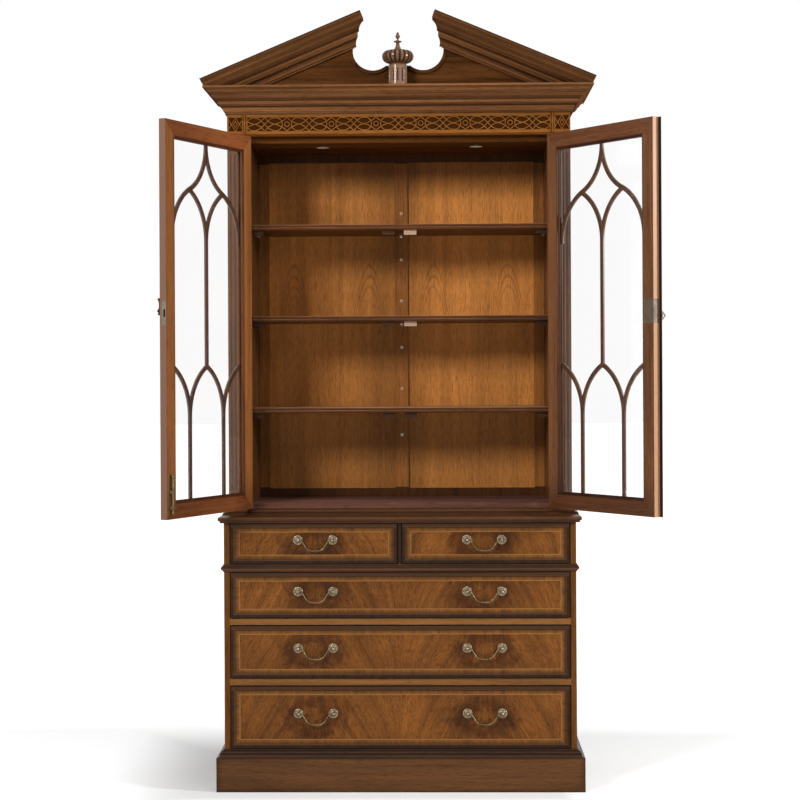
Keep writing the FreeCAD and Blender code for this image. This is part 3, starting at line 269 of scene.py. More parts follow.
# %% [markdown]
# ## Case boards
# The case is mid-brown mahogany. Boards that stand have upright grain; rails and plinth run across, and
# the grain turns the corner with them. The plinth is darker within a few millimetres of its edges, and the
# narrow post between the two short drawers gets painted shadow, as dark as the drawers' borders. Both could
# be painted by hand, but a distance to the edges gives them with no painting and on every side.

# %% Case finishes
EDGE_SWAY = 0.014
EDGE_DARKENING = (0.004, 0.030)
POST_HALF = 0.010
POST_SHADOW_COLOUR = (0.034, 0.013, 0.005)


def plinth_finish():
    material, tree, shader = finish("plinth_wood", specular=WOOD_GLOSS)
    low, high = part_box("plinth_boards")
    place, x, y, z = place_axes(tree)
    grain = corner_run(tree, ALONG_X, ALONG_Y)
    colour, streak, pore = wood_colour(tree, grain, tones((0.112, 0.046, 0.0155), 0.8))
    corner = calc(tree, "MAXIMUM", calc(tree, "SUBTRACT", high[0], calc(tree, "ABSOLUTE", x)),
                  calc(tree, "SUBTRACT", y, low[1]))
    edge = calc(tree, "MINIMUM", corner, to_nearer_end(tree, z, low[2], high[2]))
    # Darker within a few millimetres of the plinth's edges.
    edge_clearance = fade(tree, calc(tree, "MULTIPLY_ADD", streak, EDGE_SWAY, edge), *EDGE_DARKENING)
    shade = ramp(tree, edge_clearance, [(0.0, 0.52), (1.0, 1.0)])
    polish(tree, shader, darken(tree, colour, shade), streak, pore)
    return material


def rail_finish():
    """Golden rails, and painted shadow on the post between the short drawers."""
    material, tree, shader = finish("rail_wood", specular=WOOD_GLOSS)
    place, x, y, z = place_axes(tree)
    post_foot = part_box("short_drawer_left_front")[0][2]
    colour, streak, pore = wood_colour(tree, board_run(tree, ALONG_X), tones((0.225, 0.094, 0.025)))
    # Painted shadow on the narrow post between the short drawers.
    post = calc(tree, "MULTIPLY", calc(tree, "GREATER_THAN", z, post_foot),
                calc(tree, "LESS_THAN", calc(tree, "ABSOLUTE", x), POST_HALF))
    polish(tree, shader, blend(tree, post, colour, POST_SHADOW_COLOUR), streak, pore)
    return material


upright_wood = plain_wood("upright_case_wood", ALONG_Z, tones((0.145, 0.057, 0.015)), gloss=DULL_GLOSS)
tympanum_wood = plain_wood("tympanum_wood", ALONG_X, tones((0.087, 0.032, 0.0095), 1.3), ALONG_Y, 2.4,
                           gloss=DULL_GLOSS)
dress(upright_wood, "base_carcase", "upper_sides", "pilasters")
dress(tympanum_wood, "tympanum")
dress(plinth_finish(), "plinth_boards")
dress(rail_finish(), "drawer_rails")
print("case finishes:", len(bpy.data.materials))

# %% [markdown]
# ## Dark mouldings of the chest
# The plinth cap, the moulding under the short drawers, the edge of the top and the waist moulding get
# painted shade, nearly black, in their hollows, and a painted reddish highlight along each rounded member.
# Finding the members from how sharp the mesh is would need a dense mesh. The level of a point within its
# moulding tells which member it lies on, and a ramp over that level holds the painted shade and highlights.

# %% Dark moulding finishes
# Painted shade in the hollows and painted highlights on the rounded members: greys that multiply the mid
# colour.
CAP_LIGHT_AND_SHADE = [(0.0, 0.30), (0.08, 0.13), (0.30, 0.16), (0.40, 0.55), (0.48, 0.14), (0.74, 0.14),
             (0.84, 0.46), (0.92, 0.20), (1.0, 0.14)]
BELT_LIGHT_AND_SHADE = [(0.0, 0.32), (0.10, 0.42), (0.22, 1.0), (0.40, 0.95), (0.48, 0.28), (0.62, 0.20),
              (0.80, 0.28), (0.90, 0.55), (1.0, 0.32)]
TOP_LIGHT_AND_SHADE = [(0.0, 0.45), (0.15, 0.62), (0.50, 0.50), (0.68, 0.48), (0.78, 1.0), (0.88, 0.85),
             (1.0, 0.48)]
WAIST_LIGHT_AND_SHADE = [(0.0, 0.50), (0.10, 0.75), (0.30, 0.34), (0.60, 0.46), (0.75, 1.0), (0.85, 0.55),
               (1.0, 0.42)]


def member_finish(name, mid, low, high, steps, belt=None):
    """Moulding wood between heights, painted shade and highlight on each member; a belt lies higher up."""
    material, tree, shader = finish(name, specular=WOOD_GLOSS)
    place, x, y, z = place_axes(tree)
    colour, streak, pore = wood_colour(tree, corner_run(tree, ALONG_X, ALONG_Y), tones(mid, 0.6))
    shade = ramp(tree, level_between(tree, z, low, high), steps)
    if belt is not None:
        belt_low, belt_high, belt_steps = belt
        on_belt = calc(tree, "GREATER_THAN", z, (high + belt_low) / 2)
        belt_shade = ramp(tree, level_between(tree, z, belt_low, belt_high), belt_steps)
        shade = blend(tree, on_belt, shade, belt_shade)
    polish(tree, shader, darken(tree, colour, shade), streak, pore)
    return material


cap_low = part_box("plinth_boards")[1][2]
cap_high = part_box("bottom_drawer_front")[0][2]
belt = (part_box("upper_drawer_front")[1][2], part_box("short_drawer_left_front")[0][2], BELT_LIGHT_AND_SHADE)
dress(member_finish("chest_moulding_wood", (0.150, 0.066, 0.030), cap_low, cap_high, CAP_LIGHT_AND_SHADE, belt),
      "base_mouldings")
for name, mid, steps in (("base_top_board", (0.128, 0.051, 0.019), TOP_LIGHT_AND_SHADE),
                         ("waist_moulding", (0.120, 0.044, 0.016), WAIST_LIGHT_AND_SHADE)):
    low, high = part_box(name)
    dress(member_finish(name + "_wood", mid, low[2], high[2], steps), name)
print("dark mouldings finished")

# %% [markdown]
# ## Cornice and raking cornices
# The cornice is one long moulding, and its hollows get painted shade. As on the chest, a ramp over the
# level of a point darkens them. The raking cornices have nearly the same members on a slope, so there the
# level is counted down from the sloping top, and the grain is turned to run along the slope; their top
# fillet gets painted shade too.

# %% Cornice finishes
RAKE = 0.417
RAKING_INNER = 0.118
RAKING_PLUMB = 0.106
# Painted shade in the cornice's hollows; the raking cornices also get it on their top fillet.
CORNICE_HOLLOW_SHADE = [(0.0, 0.50), (0.03, 0.45), (0.08, 1.0), (0.22, 1.0), (0.27, 0.42), (0.33, 0.45), (0.37, 1.0),
           (0.45, 1.0), (0.48, 0.38), (0.54, 0.42), (0.57, 1.0), (0.66, 0.95), (0.69, 0.55), (0.72, 0.65),
           (0.77, 0.95), (0.92, 0.90), (0.96, 1.0), (1.0, 0.95)]
RAKING_HOLLOW_SHADE = CORNICE_HOLLOW_SHADE[:-2] + [(0.945, 0.85), (0.965, 0.30), (1.0, 0.30)]


def level_course(tree):
    """Level within the cornice, and its grain."""
    low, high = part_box("cornice")
    place, x, y, z = place_axes(tree)
    return level_between(tree, z, low[2], high[2]), corner_run(tree, ALONG_X, ALONG_Y)


def raking_course(tree):
    """Level below the sloping top of the raking cornices, and grain along the slope."""
    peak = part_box("raking_cornices")[1][2] + RAKING_INNER * RAKE
    place, x, y, z = place_axes(tree)
    out = calc(tree, "ABSOLUTE", x)
    above_top = calc(tree, "MULTIPLY_ADD", out, RAKE, calc(tree, "SUBTRACT", z, peak))
    lean = math.atan(RAKE)
    along = calc(tree, "SUBTRACT", calc(tree, "MULTIPLY", out, math.cos(lean)),
                 calc(tree, "MULTIPLY", z, math.sin(lean)))
    across = calc(tree, "MULTIPLY", above_top, math.cos(lean))
    grain = node(tree, "CombineXYZ", {0: along, 1: across, 2: y}).outputs[0]
    return calc(tree, "MULTIPLY_ADD", above_top, 1.0 / RAKING_PLUMB, 1.0), grain


def cornice_finish(name, mid, course, hollows):
    material, tree, shader = finish(name, specular=DULL_GLOSS)
    level, grain = course(tree)
    colour, streak, pore = wood_colour(tree, grain, tones(mid))
    polish(tree, shader, darken(tree, colour, ramp(tree, level, hollows)), streak, pore)
    return material


dress(cornice_finish("cornice_wood", (0.185, 0.078, 0.030), level_course, CORNICE_HOLLOW_SHADE), "cornice")
dress(cornice_finish("raking_wood", (0.138, 0.057, 0.021), raking_course, RAKING_HOLLOW_SHADE),
      "raking_cornices")
print("cornice finishes made")

# %% [markdown]
# ## Fretwork
# The blind fretwork is a thin pierced panel. Its faces are lighter than the ground behind it, which gets
# painted shade, and its sides get painted shade too. A second material on the sides would need faces picked
# one by one, so the finish looks at which way a face points.

# %% Fretwork finishes
SIDE_SHADE_COLOUR = (0.022, 0.008, 0.003)
SHADE_BEHIND_FRET = (0.042, 0.014, 0.003)


def fret_finish():
    material, tree, shader = finish("fret_wood", specular=DULL_GLOSS)
    colour, streak, pore = wood_colour(tree, board_run(tree, ALONG_X), tones((0.215, 0.081, 0.019)))
    # Painted shade on the sides of the fret, which face into its openings.
    looks_forward = calc(tree, "LESS_THAN", facing(tree, "Y"), -LOOKS_ASIDE)
    polish(tree, shader, blend(tree, looks_forward, SIDE_SHADE_COLOUR, colour), streak, pore)
    return material


def frieze_ground():
    """Ground of the frieze: painted shade behind the fret, plain wood above and below it."""
    material, tree, shader = finish("frieze_ground", specular=DULL_GLOSS)
    low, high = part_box("frieze_fretwork")
    place, x, y, z = place_axes(tree)
    colour, streak, pore = wood_colour(tree, board_run(tree, ALONG_X), tones((0.108, 0.034, 0.006)))
    # Painted shade on the ground behind the fret.
    behind = between(tree, z, low[2], high[2])
    polish(tree, shader, blend(tree, behind, colour, SHADE_BEHIND_FRET), streak, pore)
    return material


dress(fret_finish(), "frieze_fretwork")
dress(frieze_ground(), "frieze_board")
print("fretwork finishes made")

# %% [markdown]
# ## Inside of the bookcase
# The inside is golden at the back and darker on the boards. Shelves get a painted sheen on top, paler than
# their front edges; the floor board gets a paler, greyer painted sheen than the top board; the rails at the
# top and bottom of the back frame get painted shade; and the small blocks under the shelves are dark, except
# those right of the middle above 1.3 m, which are pale. All of these are one wood with a second tone in
# places, so one function makes them, and a small rule for each says where the second tone lies.

# %% Wood in two tones
def two_tone(name, run, first, second, mask_of, gloss=WOOD_GLOSS):
    """Wood with a second tone where mask_of, given the tree and its coordinates, is 1."""
    material, tree, shader = finish(name, specular=gloss)
    place, x, y, z = place_axes(tree)
    colour, streak, pore = wood_colour(tree, board_run(tree, run), tones(first))
    share = tuple(part / base for part, base in zip(second, first))
    most = max(1.0, *share)
    lower = tuple(1.0 / most for part in share)
    upper = tuple(part / most for part in share)
    toned = darken(tree, colour, blend(tree, mask_of(tree, x, y, z), lower, upper))
    scaled = node(tree, "VectorMath", {0: toned, 1: (most, most, most)}, operation="MULTIPLY").outputs[0]
    polish(tree, shader, scaled, streak, pore)
    return material


print("two tones ready")

# %% Inside boards
LOOKS_UP = 0.7
BOOKCASE_MIDDLE = 1.5
PANEL_LAP = 0.004
PALE_BLOCK_REACH = 0.2
PALE_BLOCK_ABOVE = 1.3


# Painted sheen: the tops of the shelves are paler than their front edges.
def painted_top_sheen(tree, x, y, z):
    return calc(tree, "GREATER_THAN", facing(tree, "Z"), LOOKS_UP)


# Painted sheen: the floor board, below the middle, is paler and greyer than the top board.
def floor_board_sheen(tree, x, y, z):
    return calc(tree, "LESS_THAN", z, BOOKCASE_MIDDLE)


# Painted shade on the top and bottom rails of the back frame.
def shaded_frame_rails(tree, x, y, z):
    low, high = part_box("back_panels")
    return calc(tree, "MAXIMUM", calc(tree, "LESS_THAN", z, low[2] + PANEL_LAP),
                calc(tree, "GREATER_THAN", z, high[2] - PANEL_LAP))


def pale_block(tree, x, y, z):
    return calc(tree, "MULTIPLY", between(tree, x, 0.0, PALE_BLOCK_REACH),
                calc(tree, "GREATER_THAN", z, PALE_BLOCK_ABOVE))


dress(two_tone("shelf_wood", ALONG_X, (0.084, 0.027, 0.006), (0.380, 0.195, 0.105), painted_top_sheen), "shelves")
dress(two_tone("inside_board_wood", ALONG_X, (0.090, 0.032, 0.008), (0.160, 0.072, 0.050), floor_board_sheen,
               DULL_GLOSS), "floor_and_top_boards")
dress(two_tone("back_frame_wood", ALONG_Z, (0.312, 0.119, 0.028), (0.070, 0.024, 0.006), shaded_frame_rails),
      "back_frame")
dress(two_tone("block_wood", ALONG_X, (0.050, 0.020, 0.008), (0.420, 0.270, 0.190), pale_block),
      "shelf_blocks")
dress(plain_wood("lining_wood", ALONG_Z, tones((0.105, 0.040, 0.014))), "side_linings")
print("inside boards finished")

# %% [markdown]
# ## Back panels
# Each back panel is two leaves of one log, opened like a book, so the arched figure of one leaf is the
# mirror of the other. Such arches are parabolas: add the square of the distance from the arch's middle
# line to the height, and draw lines where that sum has equal steps. Only the middle of the panel has them;
# above and below, the grain is straight and fine. Painted shade darkens the panels towards the middle
# stile, towards the top and towards the bottom.

# %% Arched figure
PANEL_MIDDLE = 0.233
ARCH_OFFSET = 0.126
ARCH_SWEEP = 62.0
ARCH_STEP = 0.036
ARCH_SWAY = 0.02
ARCH_FOOT = (1.565, 1.605)
ARCH_HEAD = (1.675, 1.695)


def arch_lines(tree, place, x, z):
    """1 on the arched lines of the figure, 0 between them and beyond."""
    from_middle = calc(tree, "ABSOLUTE", calc(tree, "SUBTRACT", calc(tree, "ABSOLUTE", x), PANEL_MIDDLE))
    sway = calc(tree, "SUBTRACT", cloud(tree, place, 6.0), 0.5)
    from_arch = calc(tree, "MULTIPLY_ADD", sway, ARCH_SWAY,
                     calc(tree, "SUBTRACT", from_middle, ARCH_OFFSET))
    sum_up = calc(tree, "MULTIPLY_ADD", calc(tree, "MULTIPLY", from_arch, from_arch), ARCH_SWEEP, z)
    wave = calc(tree, "SINE", calc(tree, "MULTIPLY", sum_up, 2 * math.pi / ARCH_STEP))
    below_head = calc(tree, "SUBTRACT", 1.0, fade(tree, sum_up, *ARCH_HEAD))
    inside = calc(tree, "MULTIPLY", fade(tree, sum_up, *ARCH_FOOT), below_head)
    return calc(tree, "MULTIPLY", fade(tree, wave, 0.1, 1.0), inside)


print("arches every", ARCH_STEP, "m")

# %% Back panel finish
LEFT_SHADE_SPAN = (0.04, 0.24)
RIGHT_SHADE_SPAN = (0.00, 0.12)
TOP_SHADE_DEPTH = 0.15
LOW_SHADE_FADE = (0.90, 1.62)
ARCH_COLOUR = (0.52, 0.46, 0.40)


def painted_back_shade(tree, x, z):
    """Painted shade: darker at the middle stile and at the top of the back."""
    clear = calc(tree, "ADD", fade(tree, calc(tree, "MULTIPLY", x, -1.0), *LEFT_SHADE_SPAN),
                 fade(tree, x, *RIGHT_SHADE_SPAN))
    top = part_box("back_panels")[1][2]
    below = fade(tree, calc(tree, "SUBTRACT", top, z), 0.0, TOP_SHADE_DEPTH)
    beside = ramp(tree, clear, [(0.0, 0.58), (1.0, 1.0)])
    return darken(tree, beside, ramp(tree, below, [(0.0, 0.55), (1.0, 1.0)]))


def back_panel_finish():
    material, tree, shader = finish("back_panel_wood", specular=WOOD_GLOSS)
    place, x, y, z = place_axes(tree)
    grain = board_run(tree, ALONG_Z)
    colour, streak, pore = wood_colour(tree, grain, tones((0.720, 0.284, 0.066), 0.56), 2.2, 0.8)
    fleck = stretched_noise(tree, grain, 60.0, 420.0, 2.0)
    colour = darken(tree, colour, ramp(tree, fleck, [(0.36, 0.80), (0.60, 1.0)]))
    figure = calc(tree, "MULTIPLY", arch_lines(tree, place, x, z), 0.55)
    colour = darken(tree, colour, ARCH_COLOUR, figure)
    # Painted shade towards the middle stile and the top.
    colour = darken(tree, colour, painted_back_shade(tree, x, z))
    # Painted shade, deeper towards the bottom of the back.
    low_shade = ramp(tree, fade(tree, z, *LOW_SHADE_FADE), [(0.0, 0.80), (1.0, 1.0)])
    polish(tree, shader, darken(tree, colour, low_shade), streak, pore, OPEN_GRAIN / 2)
    return material


dress(back_panel_finish(), "back_panels")
print("back panels finished")

# %% [markdown]
# ## Door frames
# Stiles and rails are mitred, so the grain changes direction along a diagonal at each corner, where a fine
# dark seam shows. The finish finds the nearer edge of the door: near the top or bottom edge the wood belongs
# to a rail, and elsewhere to a stile. The beads round the glass get painted shade, the frames are darker
# towards the bottom, the hinge side gets painted light, and the edges where the doors meet have their own
# tone, a painted highlight on the right door. The doors stand open, so the coordinates are turned back by
# the angle of the door.

# %% Door measures
DOOR_WIDTH = 0.4905
FRAME_WIDTH = 0.046
SEAM = 0.0006
STILE_FADE = 0.05
BOTTOM_DARKENING = (0.02, 0.14)
SEAM_SHADE = (0.25, 0.22, 0.20)
BEAD_SHADOW_TONE = (0.38, 0.36, 0.40)
LEFT_ANGLE = math.radians(-115)
RIGHT_ANGLE = math.radians(126)


def hinge_line(name):
    joint = next(entry for entry in frame["joints"] if entry["name"] == name)
    return Vector(joint["pos_m"])


left_hinge = hinge_line("left_door_hinge")
right_hinge = hinge_line("right_door_hinge")
print("hinges at", [round(value, 4) for value in (*left_hinge, *right_hinge)])

# %% Door finishes
TRACERY_GLOSS = 0.45


def door_finish(name, hinge, angle, mid, hinge_side_light, rail_tone, edge_tone_and_sheen):
    material, tree, shader = finish(name, specular=WOOD_GLOSS)
    low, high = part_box(name)
    place, x, y, z = place_axes(tree)
    local = node(tree, "VectorMath", {0: place, 1: tuple(hinge)}, operation="SUBTRACT").outputs[0]
    turned = node(tree, "Mapping", {"Vector": local, "Rotation": (0.0, 0.0, -angle)}).outputs["Vector"]
    along = calc(tree, "ABSOLUTE", node(tree, "SeparateXYZ", {0: turned}).outputs["X"])
    side = to_nearer_end(tree, along, 0.0, DOOR_WIDTH)
    end = to_nearer_end(tree, z, low[2], high[2])
    rail = calc(tree, "LESS_THAN", end, side)
    upright = node(tree, "Mapping", {"Vector": turned, "Rotation": ALONG_Z}).outputs["Vector"]
    colour, streak, pore = wood_colour(tree, pick_run(tree, rail, upright, turned), tones(mid, 0.8))
    # Painted light: the hinge side is lighter than the free edge.
    from_hinge = fade(tree, along, STILE_FADE, DOOR_WIDTH - STILE_FADE)
    colour = darken(tree, colour, ramp(tree, from_hinge, [(0.0, 1.0), (1.0, 1.0 / hinge_side_light)]))
    colour = blend(tree, rail, colour, darken(tree, colour, rail_tone))

    seam = calc(tree, "LESS_THAN", calc(tree, "ABSOLUTE", calc(tree, "SUBTRACT", side, end)), SEAM)
    colour = darken(tree, colour, SEAM_SHADE, calc(tree, "MULTIPLY", seam, 0.75))
    # Painted shade on the beads round the glass.
    bead = calc(tree, "GREATER_THAN", calc(tree, "MINIMUM", side, end), FRAME_WIDTH - SEAM)
    colour = darken(tree, colour, BEAD_SHADOW_TONE, bead)
    # Darker towards the bottom of the frame.
    toward_bottom = fade(tree, calc(tree, "SUBTRACT", z, low[2]), *BOTTOM_DARKENING)
    colour = darken(tree, colour, ramp(tree, toward_bottom, [(0.0, 0.66), (1.0, 1.0)]))
    # The meeting edge has its own tone; the right door's is a painted highlight.
    meeting_edge = calc(tree, "GREATER_THAN", along, DOOR_WIDTH - SEAM)
    polish(tree, shader, blend(tree, meeting_edge, colour, edge_tone_and_sheen), streak, pore)
    return material


# The left door's wood is painted lighter than the right door's: lit and shaded copies of one wood.
dress(door_finish("left_door_frame", left_hinge, LEFT_ANGLE, (0.330, 0.121, 0.035), 1.45,
                  (0.86, 0.73, 0.82), (0.190, 0.100, 0.066)), "left_door_frame")
dress(door_finish("right_door_frame", right_hinge, RIGHT_ANGLE, (0.180, 0.074, 0.031), 1.22,
                  (1.0, 0.90, 0.92), (0.490, 0.265, 0.150)), "right_door_frame")
dress(plain_wood("tracery_wood", ALONG_Z, tones((0.085, 0.037, 0.019)), gloss=TRACERY_GLOSS),
      "left_door_tracery", "right_door_tracery")
dress(plain_wood("astragal_wood", ALONG_Z, tones((0.026, 0.010, 0.006))), "right_door_astragal")
print("door finishes made")

# %% [markdown]
# ## Drawer fronts
# Each front is veneered in three parts. A dark moulding goes round the edge, a golden crossband follows it
# with its grain across the edge, and a thin pale string separates the crossband from the flame figure in
# the middle. The flame leans towards each pull from both sides, so the veneers meet in a V at the middle
# of a long drawer, and the heart of the figure lies dark behind the pull. The bands come from the
# distance to the nearest edge, so one function dresses every drawer.

# %% Flame figure
DRAWERS = ("bottom_drawer", "middle_drawer", "upper_drawer", "short_drawer_left", "short_drawer_right")
PULL_OFFSET = 0.264
FLAME_LEAN = 0.62
FLAME_SWAY = 0.030
HEART_FLATNESS = 1.35
HEART_SWAY = 0.13
HEART_CORE = (0.012, 0.055)
HEART_RIM = (0.060, 0.130)
HEART_SHADE = (0.42, 0.37, 0.36)


def flame_heart(tree, place, from_pull, above):
    """Dark clouded heart of the figure: 1 in its ring, less in its core, 0 outside."""
    raised = calc(tree, "MULTIPLY", above, HEART_FLATNESS)
    reach = calc(tree, "SQRT", calc(tree, "ADD", calc(tree, "MULTIPLY", from_pull, from_pull),
                                    calc(tree, "MULTIPLY", raised, raised)))
    billow = calc(tree, "SUBTRACT", cloud(tree, place, 20.0, 3.0, distortion=1.2), 0.5)
    reach = calc(tree, "MULTIPLY_ADD", billow, HEART_SWAY, reach)
    core = calc(tree, "MULTIPLY_ADD", fade(tree, reach, *HEART_CORE), 0.65, 0.35)
    return calc(tree, "MULTIPLY", core, calc(tree, "SUBTRACT", 1.0, fade(tree, reach, *HEART_RIM)))


def flame_field(tree, place, x, z, middle, seed):
    """Colour, streaks and pores of the flame; seed tells one drawer's veneer from the next."""
    sway = cloud(tree, place, 7.0)
    above = calc(tree, "SUBTRACT", z, middle)
    from_pull = calc(tree, "ABSOLUTE", calc(tree, "SUBTRACT", calc(tree, "ABSOLUTE", x), PULL_OFFSET))
    swing = calc(tree, "SINE", calc(tree, "MULTIPLY", from_pull, math.pi / PULL_OFFSET))
    across = calc(tree, "MULTIPLY_ADD", calc(tree, "MULTIPLY", swing, FLAME_LEAN), above, from_pull)
    across = calc(tree, "MULTIPLY_ADD", sway, FLAME_SWAY, across)
    leaf = calc(tree, "MULTIPLY_ADD", calc(tree, "SIGN", x), 0.4, seed)
    flame = node(tree, "CombineXYZ", {0: z, 1: across, 2: leaf}).outputs[0]
    colour, streak, pore = wood_colour(tree, flame, tones((0.200, 0.071, 0.0135)), 3.0)
    fleck = stretched_noise(tree, flame, 70.0, 420.0, 2.0)
    colour = darken(tree, colour, ramp(tree, fleck, [(0.36, (0.52, 0.46, 0.42)), (0.52, 1.0)]))
    heart = calc(tree, "MULTIPLY", flame_heart(tree, place, from_pull, above), 0.95)
    colour = darken(tree, colour, HEART_SHADE, heart)
    drift = ramp(tree, sway, [(0.36, 0.78), (0.52, 1.0), (0.66, 1.12)])
    return darken(tree, colour, drift), streak, pore


print("flame leans", FLAME_LEAN)

# %% Border and bands
BORDER = 0.0135
GAP_SHADOW_LINE = 0.0022
BEAD_HIGHLIGHT_LINE = (0.0109, 0.0123)
SIDE_BAND = 0.0280
END_BAND = 0.0270
STRING = 0.0017
STRING_COLOUR = (0.340, 0.160, 0.045)
SHADE_BY_BORDER = (0.0105, 0.0285)
SHADE_BY_BAND = (-0.006, 0.030)


def dark_border(tree, inset, from_top, streak):
    """Dark moulding of a drawer: painted highlight on the top strip and the bead, painted shadow in the gap.
    """
    dark = ramp(tree, streak, [(0.3, (0.016, 0.006, 0.002)), (0.7, (0.040, 0.015, 0.005))])
    # Painted highlight along the top strip of the border.
    lit_upper_strip = calc(tree, "MULTIPLY", calc(tree, "LESS_THAN", from_top, BORDER), 0.6)
    dark = blend(tree, lit_upper_strip, dark, (0.075, 0.032, 0.013))
    # Painted highlight on the bead.
    dark = blend(tree, between(tree, inset, *BEAD_HIGHLIGHT_LINE), dark, (0.105, 0.046, 0.019))
    # Painted shadow in the gap round the drawer.
    return blend(tree, calc(tree, "LESS_THAN", inset, GAP_SHADOW_LINE), dark, (0.006, 0.003, 0.002))


def banded(tree, field, band, inset, past):
    """Flame, string and crossband, with painted shade by the border; past is the distance inside the band.
    """
    colour = blend(tree, calc(tree, "LESS_THAN", past, STRING), field, STRING_COLOUR)
    colour = blend(tree, calc(tree, "LESS_THAN", past, 0.0), colour, band)
    # Painted shade beside the raised border, fading inwards.
    light = calc(tree, "MULTIPLY", fade(tree, inset, *SHADE_BY_BORDER), 0.78)
    light = calc(tree, "MULTIPLY_ADD", fade(tree, past, *SHADE_BY_BAND), 0.14, light)
    return darken(tree, colour, ramp(tree, light, [(0.0, 0.30), (0.92, 1.0)]))


print("border", BORDER, "m, crossband to", SIDE_BAND, "m")

# %% Drawer finish
def drawer_finish(name, seed):
    material, tree, shader = finish(name + "_veneer", specular=WOOD_GLOSS)
    low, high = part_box(name)
    place, x, y, z = place_axes(tree)
    side = to_nearer_end(tree, x, low[0], high[0])
    end = to_nearer_end(tree, z, low[2], high[2])
    inset = calc(tree, "MINIMUM", side, end)
    field, streak, pore = flame_field(tree, place, x, z, (low[2] + high[2]) / 2, seed)

    near_end = calc(tree, "LESS_THAN", end, side)
    run = pick_run(tree, near_end, board_run(tree, ALONG_X), board_run(tree, ALONG_Z))
    band, band_streak, band_pore = wood_colour(tree, run, tones((0.225, 0.087, 0.020), 0.8), 4.0)
    past = calc(tree, "MINIMUM", calc(tree, "SUBTRACT", side, SIDE_BAND),
                calc(tree, "SUBTRACT", end, END_BAND))
    veneer = banded(tree, field, band, inset, past)
    border = dark_border(tree, inset, calc(tree, "SUBTRACT", high[2], z), band_streak)
    colour = blend(tree, calc(tree, "LESS_THAN", inset, BORDER), veneer, border)
    polish(tree, shader, colour, streak, pore, 0.04)
    return material


for seed, drawer in enumerate(DRAWERS):
    dress(drawer_finish(drawer + "_front", seed * 3.7), drawer + "_front")
lining = plain_wood("drawer_lining_wood", ALONG_Y, tones((0.420, 0.275, 0.150), 0.5))
dress(lining, *[name for name in nodes if name.endswith("_box")])
print("drawer fronts dressed")

# %% [markdown]
# ## Brass and steel
# The pulls are antique brass: rubbed bright on the high places and brown where the patina stays. Pointiness
# would need a dense mesh, so noise mixes the two. The lock is greyer and the key nearly black. The left
# door's small fittings are one CAD node, so its finish tells them apart by their place.

# %% Metal finishes
def metal(name, bright, dull, roughness, grain=160.0):
    material, tree, shader = finish(name, roughness)
    shader.inputs["Metallic"].default_value = 1.0
    place, x, y, z = place_axes(tree)
    patina = cloud(tree, place, grain, 4.0, 0.65)
    feed(tree, shader.inputs["Base Color"], ramp(tree, patina, [(0.36, dull), (0.64, bright)]))
    feed(tree, shader.inputs["Roughness"], calc(tree, "MULTIPLY_ADD", patina, -0.25, roughness + 0.14))
    made = node(tree, "Bump", {"Height": cloud(tree, place, 900.0), "Strength": 0.08, "Distance": 0.0004})
    feed(tree, shader.inputs["Normal"], made.outputs["Normal"])
    return material


pull_brass = metal("antique_brass", (0.410, 0.325, 0.210), (0.095, 0.070, 0.042), 0.36, 210.0)
bail_brass = metal("bail_brass", (0.190, 0.147, 0.085), (0.066, 0.048, 0.025), 0.40)
hinge_brass = metal("hinge_brass", (0.280, 0.200, 0.095), (0.120, 0.085, 0.040), 0.40)
bolt_brass = metal("bolt_brass", (0.200, 0.152, 0.070), (0.085, 0.062, 0.026), 0.42)
pin_nickel = metal("pin_nickel", (0.540, 0.490, 0.410), (0.300, 0.260, 0.200), 0.42, 400.0)
lock_metal = metal("lock_metal", (0.150, 0.112, 0.085), (0.118, 0.086, 0.063), 0.58, 40.0)
key_metal = metal("key_metal", (0.090, 0.082, 0.076), (0.050, 0.045, 0.040), 0.42, 60.0)
dress(pull_brass, *[name for name in nodes if name.endswith("_pulls")])
dress(bail_brass, *[name for name in nodes if name.endswith("_bail")])
dress(hinge_brass, "case_fittings", "light_housings")
dress(bolt_brass, "left_door_bolt")
dress(pin_nickel, "shelf_pins")
dress(lock_metal, "right_door_lock", "right_door_lock_bolt")
dress(key_metal, "right_door_key")
print("metals finished")

# %% Fittings of the left door
FREE_EDGE_Y = -0.30
CAST_PULL_Y = -0.553
BOLT_TOP = 1.2


def door_fittings():
    """Grey strike, black cast pull, aged bolt case and brass hinges of the left door."""
    material = metal("left_door_metal", (0.170, 0.145, 0.122), (0.120, 0.100, 0.082), 0.56, 60.0)
    tree = material.node_tree
    base = tree.nodes["Principled BSDF"].inputs["Base Color"]
    plain = base.links[0].from_socket
    place, x, y, z = place_axes(tree)
    at_free_edge = calc(tree, "LESS_THAN", y, FREE_EDGE_Y)
    is_case = calc(tree, "MULTIPLY", at_free_edge, calc(tree, "LESS_THAN", z, BOLT_TOP))
    is_pull = calc(tree, "MULTIPLY", between(tree, y, CAST_PULL_Y, FREE_EDGE_Y),
                   calc(tree, "GREATER_THAN", z, BOLT_TOP))
    colour = blend(tree, at_free_edge, darken(tree, plain, (1.0, 0.82, 0.50)), plain)
    colour = blend(tree, is_case, colour, darken(tree, plain, (0.90, 0.80, 0.42)))
    colour = blend(tree, is_pull, colour, darken(tree, plain, (0.13, 0.12, 0.12)))
    feed(tree, base, colour)
    return material


dress(door_fittings(), "left_door_fittings")
print("left door's fittings finished")

# %% [markdown]
# ## Beads of the rosettes
# Each end of a pull sits on a turned rosette, and a ring of cast beads fills the groove of the rosette. One
# bead is a ball cut flat at the back. Spin copies it round the ring, and the ring is then copied to every
# rosette of a drawer, so one model serves them all.

# %% Helpers for new pieces
def only(piece):
    """Select one piece and make it active."""
    bpy.ops.object.select_all(action="DESELECT")
    piece.select_set(True)
    bpy.context.view_layer.objects.active = piece


